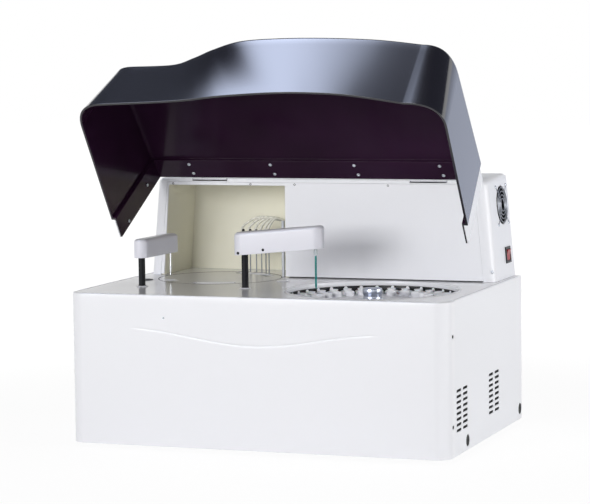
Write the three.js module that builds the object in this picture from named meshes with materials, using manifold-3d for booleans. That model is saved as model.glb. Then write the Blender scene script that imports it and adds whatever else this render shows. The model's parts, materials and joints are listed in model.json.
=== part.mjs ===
// Benchtop chemistry analyzer with its lid open, built from separate pieces.
// Millimetres, +Z up, +X to the right as the operator sees it, +Y to the back.
// The origin lies on the bench, under the middle of the cabinet.
import * as THREE from "three";
import { mergeVertices } from "three/addons/utils/BufferGeometryUtils.js";
import Module from "manifold-3d";

const wasm = await Module();
wasm.setup();

// Clearances and cutting
const fitGap = 0.3; // between pieces that seat on each other
const runGap = 0.6; // between pieces that slide or turn in each other
const overrun = 3; // how far a cutting tool passes the face it cuts

// Facets of round forms
const fineSides = 32;
const roundSides = 16;
const smallSides = 8;
const tinySides = 6;
const filletSteps = 3;

// Cabinet
const cabinetWidth = 720;
const cabinetDepth = 495;
const cabinetHeight = 275;
const cabinetCorner = 28;
const skinWall = 3;
const coverReturn = 43.5; // how far the front cover wraps round the sides
const coverEdgeRadius = 3;
const deckThickness = 4;
const traySheet = 2;
const trayRim = 20;
const panelFlange = 14;
const panelFlangeSheet = 2;
const creaseDepth = 0.8;
const creaseWidth = 2.4;
const creaseReach = 245;
const creaseLow = 188;
const creaseRise = 26;
const creaseSteps = 12;

// Feet
const footHeight = 8;
const footRadius = 17;
const footTopRadius = 14;
const footInset = 62;

// Side vents
const ventSlotLength = 30;
const ventSlotHeight = 5;
const ventEndSteps = 2;
const ventPitch = 10;
const ventRows = 8;
const ventColumns = 2;
const ventColumnGap = 10;
const ventLowest = 52;
const ventFrontGroupY = -161;
const ventRearGroupY = 49;

// Tower at the rear
const towerFrontY = 102;
const towerFrontHeight = 188;
const towerRearHeight = 196;
const towerFoot = 348; // half width where it stands on the deck
const towerTop = 331; // half width at the top
const towerCorner = 18;
const towerEdgeRadius = 10;
const towerWall = 3;
const panelSide = 22; // white margin of the hood beside the front panel
const panelTop = 6;
const panelSheet = 3;
const panelFoot = 2;

// Wash bay, the recess in the tower
const bayLeft = -319;
const bayRight = -66;
const bayHeight = 176;
const bayBackY = 240;
const bayLean = 13; // how far its left wall leans in towards the top
const baySheet = 2;
const bayFlange = 6;

// Lid, drawn closed and turned open about its hinge
const lidHingeY = 104.6;
const lidHingeHeight = 189.9; // above the deck
const lidOpenAngle = 55;
const lidWall = 4.5;
const lidBottomGap = 1.2; // above the deck when closed
const lidFrontY = -181;
const lidCrownHeight = 164.3; // above the deck at the front corners
const lidRoofSlope = 6.25;
const lidSideTop = 332;
const lidSideFoot = 348;
const lidHeelY = 58;
const lidRearY = 99.5;
const lidStep = 8; // how far the rear band lies inside the shell
const lidBandWall = 3;
const lidEdgeRadius = 12;
const lidCornerStartY = -160;
const lidFrameSheet = 1.7;
const lidCurveSteps = 18;
const lidCornerSteps = 4;
const lidLipShares = [
  [-0.84, 0.545],
  [-0.43, 0.66],
  [-0.17, 0.83],
  [0.1, 0.935],
  [0.3, 0.94],
  [0.52, 0.85],
  [0.8, 0.56],
];
const lidCrownShares = [
  [-0.88, 0.07],
  [-0.64, 0.13],
  [-0.5, 0.4],
  [-0.37, 0.72],
  [-0.2, 1.03],
  [0.02, 1.13],
  [0.3, 1.13],
  [0.6, 1.03],
  [0.84, 0.83],
];
const lidBulge = 61; // forward reach that the two curves above are shares of

// Lid hinges
const hingeReach = 220;
const hingePinRadius = 2.5;
const hingeBarrelRadius = 4.2;
const hingeFixedLength = 30;
const hingeMovingLength = 20;
const hingeLeafDepth = 34;
const hingeLeafSheet = 2;

// Reagent disc and its well
const wellX = 167;
const wellY = -75;
const wellRadius = 157;
const wellDepth = 123;
const wellWall = 3;
const wellFlange = 6;
const wellBoltHole = 9;
const discRadius = 153;
const discFloorDepth = 84; // from the deck down to the top of its floor
const discFloorSheet = 3;
const discHubRadius = 30;
const discHubBore = 22;
const discShaftRadius = 5;
const bottleCount = 32;
const bottleInner = 131;
const bottleOuter = 152;
const bottleSideGap = 3;
const bottleNeckAt = 142;
const bottleShoulderDepth = 15;
const bottleNeckRadius = 8.5;
const bottleBore = 6.5;
const bottleTopDepth = 11;
const bottleBoreDepth = 38;
const bottleTabDepth = 7.5; // from the deck down to the top of the tab at its back
const bottleTabWidth = 7;
const bottleTabSheet = 2;
const cupRadius = 9;
const cupBore = 7;
const cupCount = 24;
const cupWall = 3;
const rackHeight = 34;
const rackDepth = 20; // from the deck down to the top of the cup rack
const rackInner = 26;
const rackOuter = 126;
const discKnobRadius = 30;
const discKnobRise = 4;
const knobSheet = 3;
const knobWaistShare = 0.6;

// Reaction disc
const ringX = -188;
const ringY = 70;
const ringOpening = 118;
const cuvetteCount = 40;
const cuvetteAt = 99;
const cuvetteLong = 12;
const cuvetteWide = 8.4;
const cuvetteWall = 1.1;
const cuvetteTopDepth = 9;
const cuvetteHeight = 36;
const carrierSheet = 4;
const carrierPocketSweep = 60; // degrees
const troughInner = 86;
const troughOuter = 112;
const troughWall = 3;
const troughFloorDepth = 50;
const troughFlangeDrop = 5.5;
const troughInnerDrop = 12; // its inner wall stays below the carrier
const ringHubRadius = 20;
const ringSpindleRadius = 6;
const windowInner = 88;
const windowOuter = 110;
const coverSheet = 3.5;

// Ring gear and pinion of the reaction disc
const gearModule = 2.5;
const gearTeeth = 40;
const pinionTeeth = 10;
const gearThickness = 7;
const gearDepth = 43; // from the deck down to its underside
const gearBacklash = 0.25;
const toothRootShare = 0.38; // half a tooth at its root, of the pitch
const toothTipShare = 0.13;
const toothDepthShare = 1.25; // depth below the pitch circle, of the module
const gearWeb = 3;
const pinionShaft = 2.5;
const pinionAngle = -120;

// Reaction stand and drives
const standPlateDepth = 58;
const standPlate = 4;
const standRadius = 118;
const standLegRadius = 7;
const standLegAt = 104;
const standLegs = 4;
const driveBody = 42;
const driveHeight = 38;

// Probe and mixer columns
const columnRadius = 6.25;
const columnFootHeight = 156; // bench to the foot of a column
const guideRadius = 8.5;
const guideFlange = 11;
const guideFlangeSheet = 1.6;
const guideLength = 22;

// Sampling probe
const probeX = -69;
const probeY = -104;
const probeReach = 136;
const probeRestAngle = 2.5;
const probeArmHeight = 63; // deck to the lower edge of the cover at the column
const probeArmLean = 0.09; // how fast the arm rises towards its nose
const armInset = 5; // from a cover's lower edge up to the plate inside it
const armSheet = 8;
const probeTail = 19;
const probeNose = 16;
const probeCoverHeight = 42;
const probeCoverWidth = 33;
const coverWall = 2;
const coverRadius = 7;
const needleRadius = 1.9;
const needleTipRadius = 0.8;
const needleTipLength = 7;
const needleTipGap = 1.9; // above the deck
const needleSleeveRadius = 3.4;
const needleSleeveLength = 18;

// Mixer
const mixerX = -270;
const mixerY = -116;
const mixerCuvettePitches = 6; // from the probe's cuvette to the mixer's
const mixerArmHeight = 54;
const mixerTail = 14;
const mixerNose = 15;
const mixerCoverHeight = 35;
const mixerCoverWidth = 27;
const mixerTurn = 22; // to its own rinse pot
const paddleRadius = 1.1;
const paddleBladeWidth = 3.6;
const paddleBladeThickness = 1;
const paddleBladeHeight = 17;
const paddleTipGap = 10;

// Lift frames under the columns
const liftWidth = 62;
const liftSheet = 4;
const liftRodRadius = 4;
const liftRodSpread = 19;
const liftRodBack = 20;
const liftTopDepth = 18; // deck underside down to the frame's top plate
const liftFront = 16;
const liftBack = 30;
const liftCarriageHeight = 24;
const liftMotorSide = 34;
const liftMotorHeight = 32;

// Rinse pots
const potRadius = 9;
const potBore = 7;
const potDepth = 46;
const potFlangeRadius = 12;
const potFlangeSheet = 1.2;
const probePotAngle = 80;

// Wash station
const washPostX = -74;
const washPostY = 112;
const washPostRadius = 3.5;
const washPostHeight = 108;
const washNeedles = 6;
const washFirstPitch = 14;
const washNeedleRadius = 1.2;
const washHeadDepth = 52; // deck up to the underside of the head
const washHeadHeight = 20;
const washHeadWidth = 20;
const washArmWidth = 14;
const washBossRadius = 6.8;
const washTubeCount = 3;
const washTubeRadius = 1.6;
const washTubeSides = 8;
const washTubeSteps = 8;
const washTubeRise = 26;
const washTubeCrest = 9;
const washHeaderWidth = 8;
const washHeaderSheet = 3;
const washHeadMarginShare = 0.6; // of a cuvette's pitch beyond the end needles
const washClipHeight = 104; // deck up to the clip on the bay wall
const washClipY = 158;
const washClipThickness = 6;
const washClipTall = 9;
const washClipPitch = 5;

// Fan on the right of the tower
const fanY = 199;
const fanHeight = 138; // above the deck
const fanSize = 80;
const fanDepth = 25;
const fanBore = 37;
const fanCorner = 6;
const fanHubRadius = 16;
const fanBladeTip = 34.5;
const fanBlades = 7;
const fanBladeThickness = 1.6;
const fanBladeTwist = 32;
const fanBladeRootShare = 0.9;
const fanPostRadius = 4;
const fanAxleEnd = 14; // from the outside of the wall in to the axle's end
const fanStrut = 4;
const guardWire = 1.1;
const guardRings = 3;
const guardFirstRing = 14;
const guardRingPitch = 13;
const guardSides = 12;
const guardWireSides = 4;

// Power switch
const switchY = 207;
const switchHeight = 43;
const switchTall = 31;
const switchWide = 32;
const switchFlange = 2.2;
const switchBody = 24;
const switchRimSide = 3;
const rockerWellDepth = 10;
const rockerFaceAngle = 72; // from the pivot to the ends of its face
const rockerBackAngle = 115;
const rockerValley = 2; // the face's middle, out from the pivot
const rockerBack = 8;
const rockerBackShare = 0.3;
const rockerTilt = 9;

// Pieces inside
const supplySize = [150, 110, 62];
const supplyPlace = [210, 120];
const boardSize = [210, 1.8, 130];
const boardPlace = [-40, 212];
const boardFootHeight = 20;
const boardFoot = 12;
const boardChipShares = [
  [-0.3, 0.62, 0.16, 0.2],
  [0.05, 0.55, 0.22, 0.3],
  [0.34, 0.7, 0.1, 0.14],
];
const boardChipHeight = 3;
const inletWidth = 48;
const inletHeight = 28;
const inletDepth = 24;
const inletSideInset = 70; // its middle in from the cabinet's right side
const inletZ = 60;
const inletCup = 16;
const inletRim = 5;
const meterWidth = 46;
const meterLength = 52;
const meterHeight = 26;
const meterAngle = 32;
const syringeX = 70;
const syringeY = 168;
const syringeBase = 46;
const syringeMotorHeight = 40;
const syringeBarrelRadius = 8;
const syringeBore = 5.6;
const syringeBarrelLength = 56;
const syringePlate = 5;
const syringePistonHeight = 8;
const syringeRodRadius = 2.2;
const syringeHeadHeight = 6;
const syringeBarrelFloor = 46;
const pumpX = 190;
const pumpY = 160;
const pumpSize = 58;
const pumpDepth = 44;
const pumpCupRadius = 24;
const pumpCupDepth = 20;
const pumpRotorRadius = 13;
const pumpRollerRadius = 5;
const pumpRollers = 3;
const pumpRollerAt = 16;
const pumpRotorDepth = 15;
const pumpBoss = 7;

// Heights and places that follow from the sizes above
const deckTop = footHeight + cabinetHeight;
const deckUnder = deckTop - deckThickness;
const halfWidth = cabinetWidth / 2;
const halfDepth = cabinetDepth / 2;
const trayTop = footHeight + traySheet;
const frontSeamY = coverReturn - halfDepth;
const inletX = halfWidth - inletSideInset;
const cuvettePitch = 360 / cuvetteCount;
const bottlePitch = 360 / bottleCount;
const cupPitch = 360 / cupCount;

// Degrees as radians.
function radians(degrees) {
  return THREE.MathUtils.degToRad(degrees);
}

// The point at an angle and distance from a centre.
function polar(centreX, centreY, distance, degrees) {
  const angle = radians(degrees);
  return [centreX + distance * Math.cos(angle), centreY + distance * Math.sin(angle)];
}

// The direction of one point as seen from another, in degrees.
function bearing(fromX, fromY, toX, toY) {
  return THREE.MathUtils.radToDeg(Math.atan2(toY - fromY, toX - fromX));
}

// Where an arm of one pivot meets a circle about another centre: the larger of the two bearings.
function meetingBearing(pivot, reach, centre, radius) {
  const apart = Math.hypot(centre[0] - pivot[0], centre[1] - pivot[1]);
  const share = (reach ** 2 + apart ** 2 - radius ** 2) / (2 * reach * apart);
  const aside = THREE.MathUtils.radToDeg(Math.acos(share));
  return bearing(...pivot, ...centre) + aside;
}

// Bearings at which the probe and the mixer meet the ring of cuvettes.
const probeCuvetteBearing = meetingBearing(
  [probeX, probeY],
  probeReach,
  [ringX, ringY],
  cuvetteAt,
);
const probeCuvette = polar(probeX, probeY, probeReach, probeCuvetteBearing);
const cuvetteStart = bearing(ringX, ringY, ...probeCuvette);
const mixerCuvetteAngle = cuvetteStart - mixerCuvettePitches * cuvettePitch;
const mixerCuvette = polar(ringX, ringY, cuvetteAt, mixerCuvetteAngle);
const mixerReach = Math.hypot(mixerCuvette[0] - mixerX, mixerCuvette[1] - mixerY);
const mixerRestAngle = bearing(mixerX, mixerY, ...mixerCuvette);
const needlePlace = polar(probeX, probeY, probeReach, probeRestAngle);
const cupAt = Math.hypot(needlePlace[0] - wellX, needlePlace[1] - wellY);
const cupStart = bearing(wellX, wellY, ...needlePlace);
const bottleBearing = 2 * bearing(probeX, probeY, wellX, wellY) - meetingBearing(
  [probeX, probeY],
  probeReach,
  [wellX, wellY],
  bottleNeckAt,
);
const bottleStart = bearing(
  wellX,
  wellY,
  ...polar(probeX, probeY, probeReach, bottleBearing),
);

// Materials
function material(color, roughness, metalness) {
  return new THREE.MeshStandardMaterial({ color, roughness, metalness });
}
const whitePaint = material("#eeeef2", 0.45, 0);
const whitePlastic = material("#f2f2f5", 0.35, 0);
const creamLining = material("#e4e0cf", 0.55, 0);
const smokedPlastic = material("#2c2438", 0.12, 0.1);
const blackPlastic = material("#18181b", 0.4, 0);
const blackRubber = material("#1c1c1c", 0.85, 0);
const steel = material("#b9bcc2", 0.3, 1);
const chrome = material("#d5d7dc", 0.12, 1);
const bottleWhite = material("#f4f4f6", 0.4, 0);
const clearPlastic = material("#dfe6e8", 0.2, 0);
const tealCoat = material("#1f8a88", 0.35, 0.2);
const redPlastic = material("#c8202c", 0.3, 0);
const greenBoard = material("#1d5c3a", 0.5, 0);
const brass = material("#b08d4a", 0.35, 1);
const greyCast = material("#8b8e94", 0.55, 0.6);

// A closed geometry as a solid for joining and cutting.
function solidOf(geometry) {
  const bare = new THREE.BufferGeometry();
  bare.setAttribute("position", geometry.getAttribute("position"));
  bare.setIndex(geometry.index);
  const welded = mergeVertices(bare);
  const corners = welded.index.array;
  const triVerts = [];
  for (let i = 0; i < corners.length; i += 3) {
    const [a, b, c] = corners.subarray(i, i + 3);
    if (a !== b && b !== c && c !== a) triVerts.push(a, b, c);
  }
  const vertProperties = welded.attributes.position.array;
  return new wasm.Manifold(
    new wasm.Mesh({ numProp: 3, vertProperties, triVerts: new Uint32Array(triVerts) }),
  );
}

function geometryOf(solid) {
  const mesh = solid.getMesh();
  const geometry = new THREE.BufferGeometry();
  geometry.setAttribute("position", new THREE.BufferAttribute(mesh.vertProperties, 3));
  geometry.setIndex(new THREE.BufferAttribute(mesh.triVerts, 1));
  return geometry;
}

function join(...pieces) {
  return geometryOf(pieces.map(solidOf).reduce((whole, piece) => whole.add(piece)));
}

function cut(body, ...tools) {
  return geometryOf(tools.map(solidOf).reduce((left, tool) => left.subtract(tool), solidOf(body)));
}

// A named mesh with flat faces.
function part(name, geometry, meshMaterial) {
  const faceted = geometry.index ? geometry.toNonIndexed() : geometry;
  faceted.computeVertexNormals();
  const mesh = new THREE.Mesh(faceted, meshMaterial);
  mesh.name = name;
  return mesh;
}

function group(...children) {
  const made = new THREE.Group();
  made.add(...children);
  return made;
}

// A box between two bounds on each axis.
function block([x0, x1], [y0, y1], [z0, z1]) {
  const box = new THREE.BoxGeometry(x1 - x0, y1 - y0, z1 - z0);
  return box.translate((x0 + x1) / 2, (y0 + y1) / 2, (z0 + z1) / 2);
}

// An upright cylinder.
function post(radius, z0, z1, sides, x = 0, y = 0) {
  const upright = new THREE.CylinderGeometry(radius, radius, z1 - z0, sides).rotateX(Math.PI / 2);
  return upright.translate(x, y, (z0 + z1) / 2);
}

// A cylinder along X.
function barX(radius, x0, x1, sides, y, z) {
  const lying = new THREE.CylinderGeometry(radius, radius, x1 - x0, sides).rotateZ(Math.PI / 2);
  return lying.translate((x0 + x1) / 2, y, z);
}

// A cylinder along Y.
function barY(radius, y0, y1, sides, x, z) {
  const lying = new THREE.CylinderGeometry(radius, radius, y1 - y0, sides);
  return lying.translate(x, (y0 + y1) / 2, z);
}

// A profile of [radius, height] points, counterclockwise, turned about Z.
function turned(profile, sides) {
  const points = profile.map(([radius, z]) => new THREE.Vector2(radius, z));
  return new THREE.LatheGeometry([...points, points[0]], sides).rotateX(Math.PI / 2);
}

// An outline of [x, y] points pushed up from z0 to z1.
function slab(outline, z0, z1, holes = []) {
  const shape = new THREE.Shape(outline.map(([x, y]) => new THREE.Vector2(x, y)));
  shape.holes = holes.map((hole) => new THREE.Path(hole.map(([x, y]) => new THREE.Vector2(x, y))));
  const settings = { depth: z1 - z0, bevelEnabled: false };
  return new THREE.ExtrudeGeometry(shape, settings).translate(0, 0, z0);
}

// An outline of [y, z] points pushed along X.
function acrossX(outline, x0, x1, holes = []) {
  const turn = new THREE.Matrix4().makeBasis(
    new THREE.Vector3(0, 1, 0),
    new THREE.Vector3(0, 0, 1),
    new THREE.Vector3(1, 0, 0),
  );
  return slab(outline, x0, x1, holes).applyMatrix4(turn);
}

// An outline of [x, z] points pushed along Y.
function acrossY(outline, y0, y1, holes = []) {
  return slab(outline, -y1, -y0, holes).rotateX(Math.PI / 2);
}

// Points of an arc, both ends included.
function arc(centreX, centreY, radius, from, to, steps) {
  const points = [];
  for (let i = 0; i <= steps; i += 1) {
    points.push(polar(centreX, centreY, radius, from + ((to - from) * i) / steps));
  }
  return points;
}

function circle(centreX, centreY, radius, sides) {
  return arc(centreX, centreY, radius, 0, 360, sides).slice(0, -1);
}

function rectangle([x0, x1], [y0, y1]) {
  return [[x0, y0], [x1, y0], [x1, y1], [x0, y1]];
}

function roundedRectangle([x0, x1], [y0, y1], radius, steps) {
  return [
    ...arc(x0 + radius, y0 + radius, radius, 180, 270, steps),
    ...arc(x1 - radius, y0 + radius, radius, 270, 360, steps),
    ...arc(x1 - radius, y1 - radius, radius, 0, 90, steps),
    ...arc(x0 + radius, y1 - radius, radius, 90, 180, steps),
  ];
}

// A closed skin over rings of [x, y, z] points that run counterclockwise, lowest ring first.
function loft(rings) {
  const count = rings[0].length;
  const positions = rings.flat(2);
  const indices = [];
  for (let ring = 0; ring < rings.length - 1; ring += 1) {
    for (let i = 0; i < count; i += 1) {
      const next = (i + 1) % count;
      const low = ring * count;
      const high = low + count;
      indices.push(low + i, low + next, high + next, low + i, high + next, high + i);
    }
  }
  const flat = (ring) => ring.map(([x, y]) => new THREE.Vector2(x, y));
  const top = (rings.length - 1) * count;
  for (const [a, b, c] of THREE.ShapeUtils.triangulateShape(flat(rings[0]), [])) indices.push(c, b, a);
  for (const [a, b, c] of THREE.ShapeUtils.triangulateShape(flat(rings.at(-1)), [])) {
    indices.push(top + a, top + b, top + c);
  }
  const geometry = new THREE.BufferGeometry();
  geometry.setAttribute("position", new THREE.Float32BufferAttribute(positions, 3));
  geometry.setIndex(indices);
  return geometry;
}

// An upright form whose top edge is rounded; outlineAt gives its plan at an inset.
function roundTopped(outlineAt, z0, topAt, radius, steps) {
  const rings = [outlineAt(0).map(([x, y]) => [x, y, z0])];
  for (let i = 0; i <= steps; i += 1) {
    const angle = (i / steps) * (Math.PI / 2);
    const inset = radius * (1 - Math.cos(angle));
    const drop = radius * (1 - Math.sin(angle));
    rings.push(outlineAt(inset).map(([x, y]) => [x, y, topAt(x, y) - drop]));
  }
  return loft(rings);
}

// Plan of the cabinet inside its skins: square at the rear, round at the front corners.
function cabinetPlan(inset, rearY) {
  const side = halfWidth - inset;
  const front = halfDepth - inset;
  const radius = cabinetCorner - inset;
  return [
    [-side, rearY],
    ...arc(radius - side, radius - front, radius, 180, 270, filletSteps * 2),
    ...arc(side - radius, radius - front, radius, 270, 360, filletSteps * 2),
    [side, rearY],
  ];
}

function frontCover() {
  const skin = roundTopped(
    (inset) => cabinetPlan(inset, frontSeamY - fitGap),
    footHeight,
    () => deckTop,
    coverEdgeRadius - fitGap,
    filletSteps,
  );
  const inside = slab(
    cabinetPlan(skinWall, frontSeamY + overrun),
    footHeight - overrun,
    deckTop + overrun,
  );
  return part("front_cover", cut(skin, inside, faceCrease()), whitePlastic);
}

// The shallow crease that dips across the front face.
function faceCrease() {
  const rise = (x) => creaseRise * Math.sin((x / creaseReach) * (Math.PI / 2)) ** 2;
  const wave = (x) => footHeight + creaseLow + rise(x);
  const stations = creaseSteps;
  const upper = [];
  const lower = [];
  for (let i = 0; i <= stations; i += 1) {
    const x = creaseReach * ((2 * i) / stations - 1);
    upper.push([x, wave(x) + creaseWidth / 2]);
    lower.push([x, wave(x) - creaseWidth / 2]);
  }
  return acrossY([...lower, ...upper.reverse()], -halfDepth - overrun, creaseDepth - halfDepth);
}

// Outline of one vent slot with round ends, in the plane of the side panel.
function ventSlot(centreY, centreZ) {
  const radius = ventSlotHeight / 2;
  const straight = ventSlotLength / 2 - radius;
  return [
    ...arc(centreY + straight, centreZ, radius, -90, 90, ventEndSteps),
    ...arc(centreY - straight, centreZ, radius, 90, 270, ventEndSteps),
  ];
}

function ventSlots(groupY) {
  const slots = [];
  for (let column = 0; column < ventColumns; column += 1) {
    const aside = (column - (ventColumns - 1) / 2) * (ventSlotLength + ventColumnGap);
    for (let row = 0; row < ventRows; row += 1) {
      slots.push(ventSlot(groupY + aside, ventLowest + row * ventPitch));
    }
  }
  return slots;
}

// A side panel with the folded flange that carries the deck.
function sidePanel(name, side, slots) {
  const outer = side * halfWidth;
  const inner = side * (halfWidth - skinWall);
  const across = [Math.min(outer, inner), Math.max(outer, inner)];
  const face = rectangle([frontSeamY, halfDepth], [footHeight, deckTop]);
  const sheet = acrossX(face, ...across, slots);
  const flangeEdge = side * (halfWidth - skinWall - panelFlange);
  const reach = [Math.min(inner, flangeEdge), Math.max(inner, flangeEdge)];
  const under = deckUnder - fitGap;
  const flange = block(
    reach,
    [frontSeamY, halfDepth - skinWall - fitGap],
    [under - panelFlangeSheet, under],
  );
  return part(name, join(sheet, flange), whitePaint);
}

function baseTray() {
  const inset = skinWall + fitGap;
  const rearY = halfDepth - skinWall - fitGap;
  const outside = slab(cabinetPlan(inset, rearY), footHeight, footHeight + trayRim);
  const inside = slab(
    cabinetPlan(inset + traySheet, rearY - traySheet),
    trayTop,
    footHeight + trayRim + overrun,
  );
  return part("base_tray", cut(outside, inside), steel);
}

// One rubber foot under a corner of the tray.
function foot(name, sideX, sideY) {
  const top = footHeight - fitGap;
  const profile = [[0, 0], [footTopRadius, 0], [footRadius, top], [0, top]];
  const rubber = part(name, turned(profile, roundSides), blackRubber);
  rubber.position.set(sideX * (halfWidth - footInset), sideY * (halfDepth - footInset), 0);
  return rubber;
}

function rearPanel() {
  const side = halfWidth - skinWall - fitGap;
  const across = inletWidth / 2 + fitGap;
  const up = inletHeight / 2 + fitGap;
  const socket = rectangle([inletX - across, inletX + across], [inletZ - up, inletZ + up]);
  const sheet = acrossY(
    rectangle([-side, side], [footHeight, deckTop]),
    halfDepth - skinWall,
    halfDepth,
    [socket],
  );
  return part("rear_panel", sheet, whitePaint);
}

// Mains inlet: a cup open to the rear, with three blades left to finer work.
function powerInlet() {
  const body = block(
    [inletX - inletWidth / 2, inletX + inletWidth / 2],
    [halfDepth - inletDepth, halfDepth - fitGap],
    [inletZ - inletHeight / 2, inletZ + inletHeight / 2],
  );
  const cup = block(
    [inletX - inletWidth / 2 + inletRim, inletX + inletWidth / 2 - inletRim],
    [halfDepth - inletCup, halfDepth + overrun],
    [inletZ - inletHeight / 2 + inletRim, inletZ + inletHeight / 2 - inletRim],
  );
  return part("power_inlet", cut(body, cup), blackPlastic);
}

// The sector between two radii and two bearings, as an outline about the origin.
function sector(inner, outer, from, to, steps) {
  return [...arc(0, 0, outer, from, to, steps), ...arc(0, 0, inner, to, from, steps)];
}

function deckPlate() {
  const inset = skinWall + fitGap;
  const mixerPot = polar(mixerX, mixerY, mixerReach, mixerRestAngle + mixerTurn);
  const probePot = polar(probeX, probeY, probeReach, probePotAngle);
  const holes = [
    circle(wellX, wellY, wellRadius, fineSides),
    circle(ringX, ringY, ringOpening, fineSides),
    circle(probeX, probeY, guideRadius + fitGap, roundSides),
    circle(mixerX, mixerY, guideRadius + fitGap, roundSides),
    circle(...mixerPot, potRadius + fitGap, roundSides),
    circle(...probePot, potRadius + fitGap, roundSides),
  ];
  const plan = cabinetPlan(inset, halfDepth - inset);
  return part("deck_plate", slab(plan, deckUnder, deckTop, holes), whitePaint);
}

// Plan of the tower at a height above the deck: it narrows towards the top.
function towerSide(height) {
  return towerFoot - ((towerFoot - towerTop) * height) / towerFrontHeight;
}

function towerPlan(side, frontInset, rearInset, corner) {
  const front = towerFrontY + frontInset;
  const rear = halfDepth - rearInset;
  const steps = filletSteps;
  return [
    [-side, rear],
    ...arc(corner - side, front + corner, corner, 180, 270, steps),
    ...arc(side - corner, front + corner, corner, 270, 360, steps),
    [side, rear],
  ];
}

// Height of the tower's roof at a depth, measured from the bench.
function towerRoof(y) {
  const share = (y - towerFrontY) / (halfDepth - towerFrontY);
  return deckTop + towerFrontHeight + (towerRearHeight - towerFrontHeight) * share;
}

// The hood as a solid, inset by a wall on every side.
function towerSolid(wall, bottom) {
  const shoulder = towerFrontHeight - towerEdgeRadius;
  const rings = [
    towerPlan(towerSide(bottom - deckTop) - wall, wall, wall, towerCorner - wall).map(([x, y]) => {
      return [x, y, bottom];
    }),
  ];
  for (let i = 0; i <= filletSteps; i += 1) {
    const angle = (i / filletSteps) * (Math.PI / 2);
    const inset = towerEdgeRadius * (1 - Math.cos(angle)) + wall;
    const drop = towerEdgeRadius * (1 - Math.sin(angle)) + wall;
    const side = towerSide(shoulder - wall) - inset;
    const ring = towerPlan(side, wall, inset, towerCorner - wall);
    const lean = (z) => towerSide(z - deckTop) - towerSide(towerFrontHeight - drop);
    rings.push(ring.map(([x, y]) => {
      const z = towerRoof(y) - drop;
      return [x * (1 + lean(z) / side), y, z];
    }));
  }
  return loft(rings);
}

// Half width of the front panel at a height above the deck.
function panelHalf(height) {
  return towerSide(height) - panelSide;
}

// Outline of the front panel, or of the opening that it fills, in X and Z.
function panelOutline(clearance) {
  const low = deckTop + panelFoot - clearance;
  const high = deckTop + towerFrontHeight - panelTop + clearance;
  const wideLow = panelHalf(0) + clearance;
  const wideHigh = panelHalf(towerFrontHeight) + clearance;
  return [[-wideLow, low], [wideLow, low], [wideHigh, high], [-wideHigh, high]];
}

// Outline of the wash bay's mouth in X and Z, widened by a clearance.
function bayOutline(clearance, low) {
  const high = deckTop + bayHeight + clearance;
  return [
    [bayLeft - clearance, low],
    [bayRight + clearance, low],
    [bayRight + clearance, high],
    [bayLeft + bayLean - clearance, high],
  ];
}

function towerShell() {
  const outside = towerSolid(0, deckTop + fitGap);
  const inside = towerSolid(towerWall, deckTop - overrun);
  const frontOpening = acrossY(
    panelOutline(fitGap),
    towerFrontY - overrun,
    towerFrontY + towerWall + overrun,
  );
  const slot = block(
    [-panelHalf(0), panelHalf(0)],
    [towerFrontY - overrun, towerFrontY + towerWall + overrun],
    [deckTop, deckTop + panelFoot + overrun],
  );
  const through = towerWall + overrun;
  const fanTool = barX(fanBore + fitGap, -through, through, roundSides, 0, 0);
  const fanHole = tilted(fanTool, fanY, fanHeight);
  const switchHole = tilted(
    block(
      [-through, through],
      [-switchWide / 2 + switchRimSide - fitGap, switchWide / 2 - switchRimSide + fitGap],
      [-switchTall / 2 + switchRimSide - fitGap, switchTall / 2 - switchRimSide + fitGap],
    ),
    switchY,
    switchHeight,
  );
  const notches = [-1, 1].map((side) => hingeNotch(side));
  const hood = cut(outside, inside, frontOpening, slot, fanHole, switchHole, ...notches);
  return part("tower_shell", hood, whitePaint);
}

// A piece drawn on the origin, moved onto the outer face of the tower's leaning right side.
function tilted(geometry, y, height) {
  const lean = Math.atan2(towerFoot - towerTop, towerFrontHeight);
  return geometry.rotateY(-lean).translate(towerSide(height), y, deckTop + height);
}

function towerFrontPanel() {
  const outline = panelOutline(0);
  const mouth = bayOutline(0, deckTop - overrun);
  const plate = acrossY(outline, towerFrontY, towerFrontY + panelSheet);
  const hole = acrossY(mouth, towerFrontY - overrun, towerFrontY + panelSheet + overrun);
  return part("tower_front_panel", cut(plate, hole), whitePaint);
}

// The lining of the wash bay: walls, ceiling and back, with a flange behind the front panel.
function recessLiner() {
  const low = deckTop + fitGap;
  const front = towerFrontY + Math.max(panelSheet, towerWall) + fitGap;
  const box = acrossY(bayOutline(baySheet, low), front, bayBackY + baySheet);
  const flange = acrossY(bayOutline(bayFlange, low), front, front + baySheet);
  const inside = acrossY(bayOutline(0, low - overrun), front - overrun, bayBackY);
  return part("recess_liner", join(cut(join(box, flange), inside), washClip()), creamLining);
}

// The notch in the hood's front edge that a hinge barrel turns in.
function hingeNotch(side) {
  const length = hingeFixedLength / 2 + hingeMovingLength + runGap * 2;
  const reach = hingeBarrelRadius + runGap * 2;
  return block(
    [side * hingeReach - length, side * hingeReach + length],
    [towerFrontY - overrun, lidHingeY + reach],
    [deckTop + lidHingeHeight - reach - runGap, deckTop + lidHingeHeight + reach],
  );
}

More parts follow.
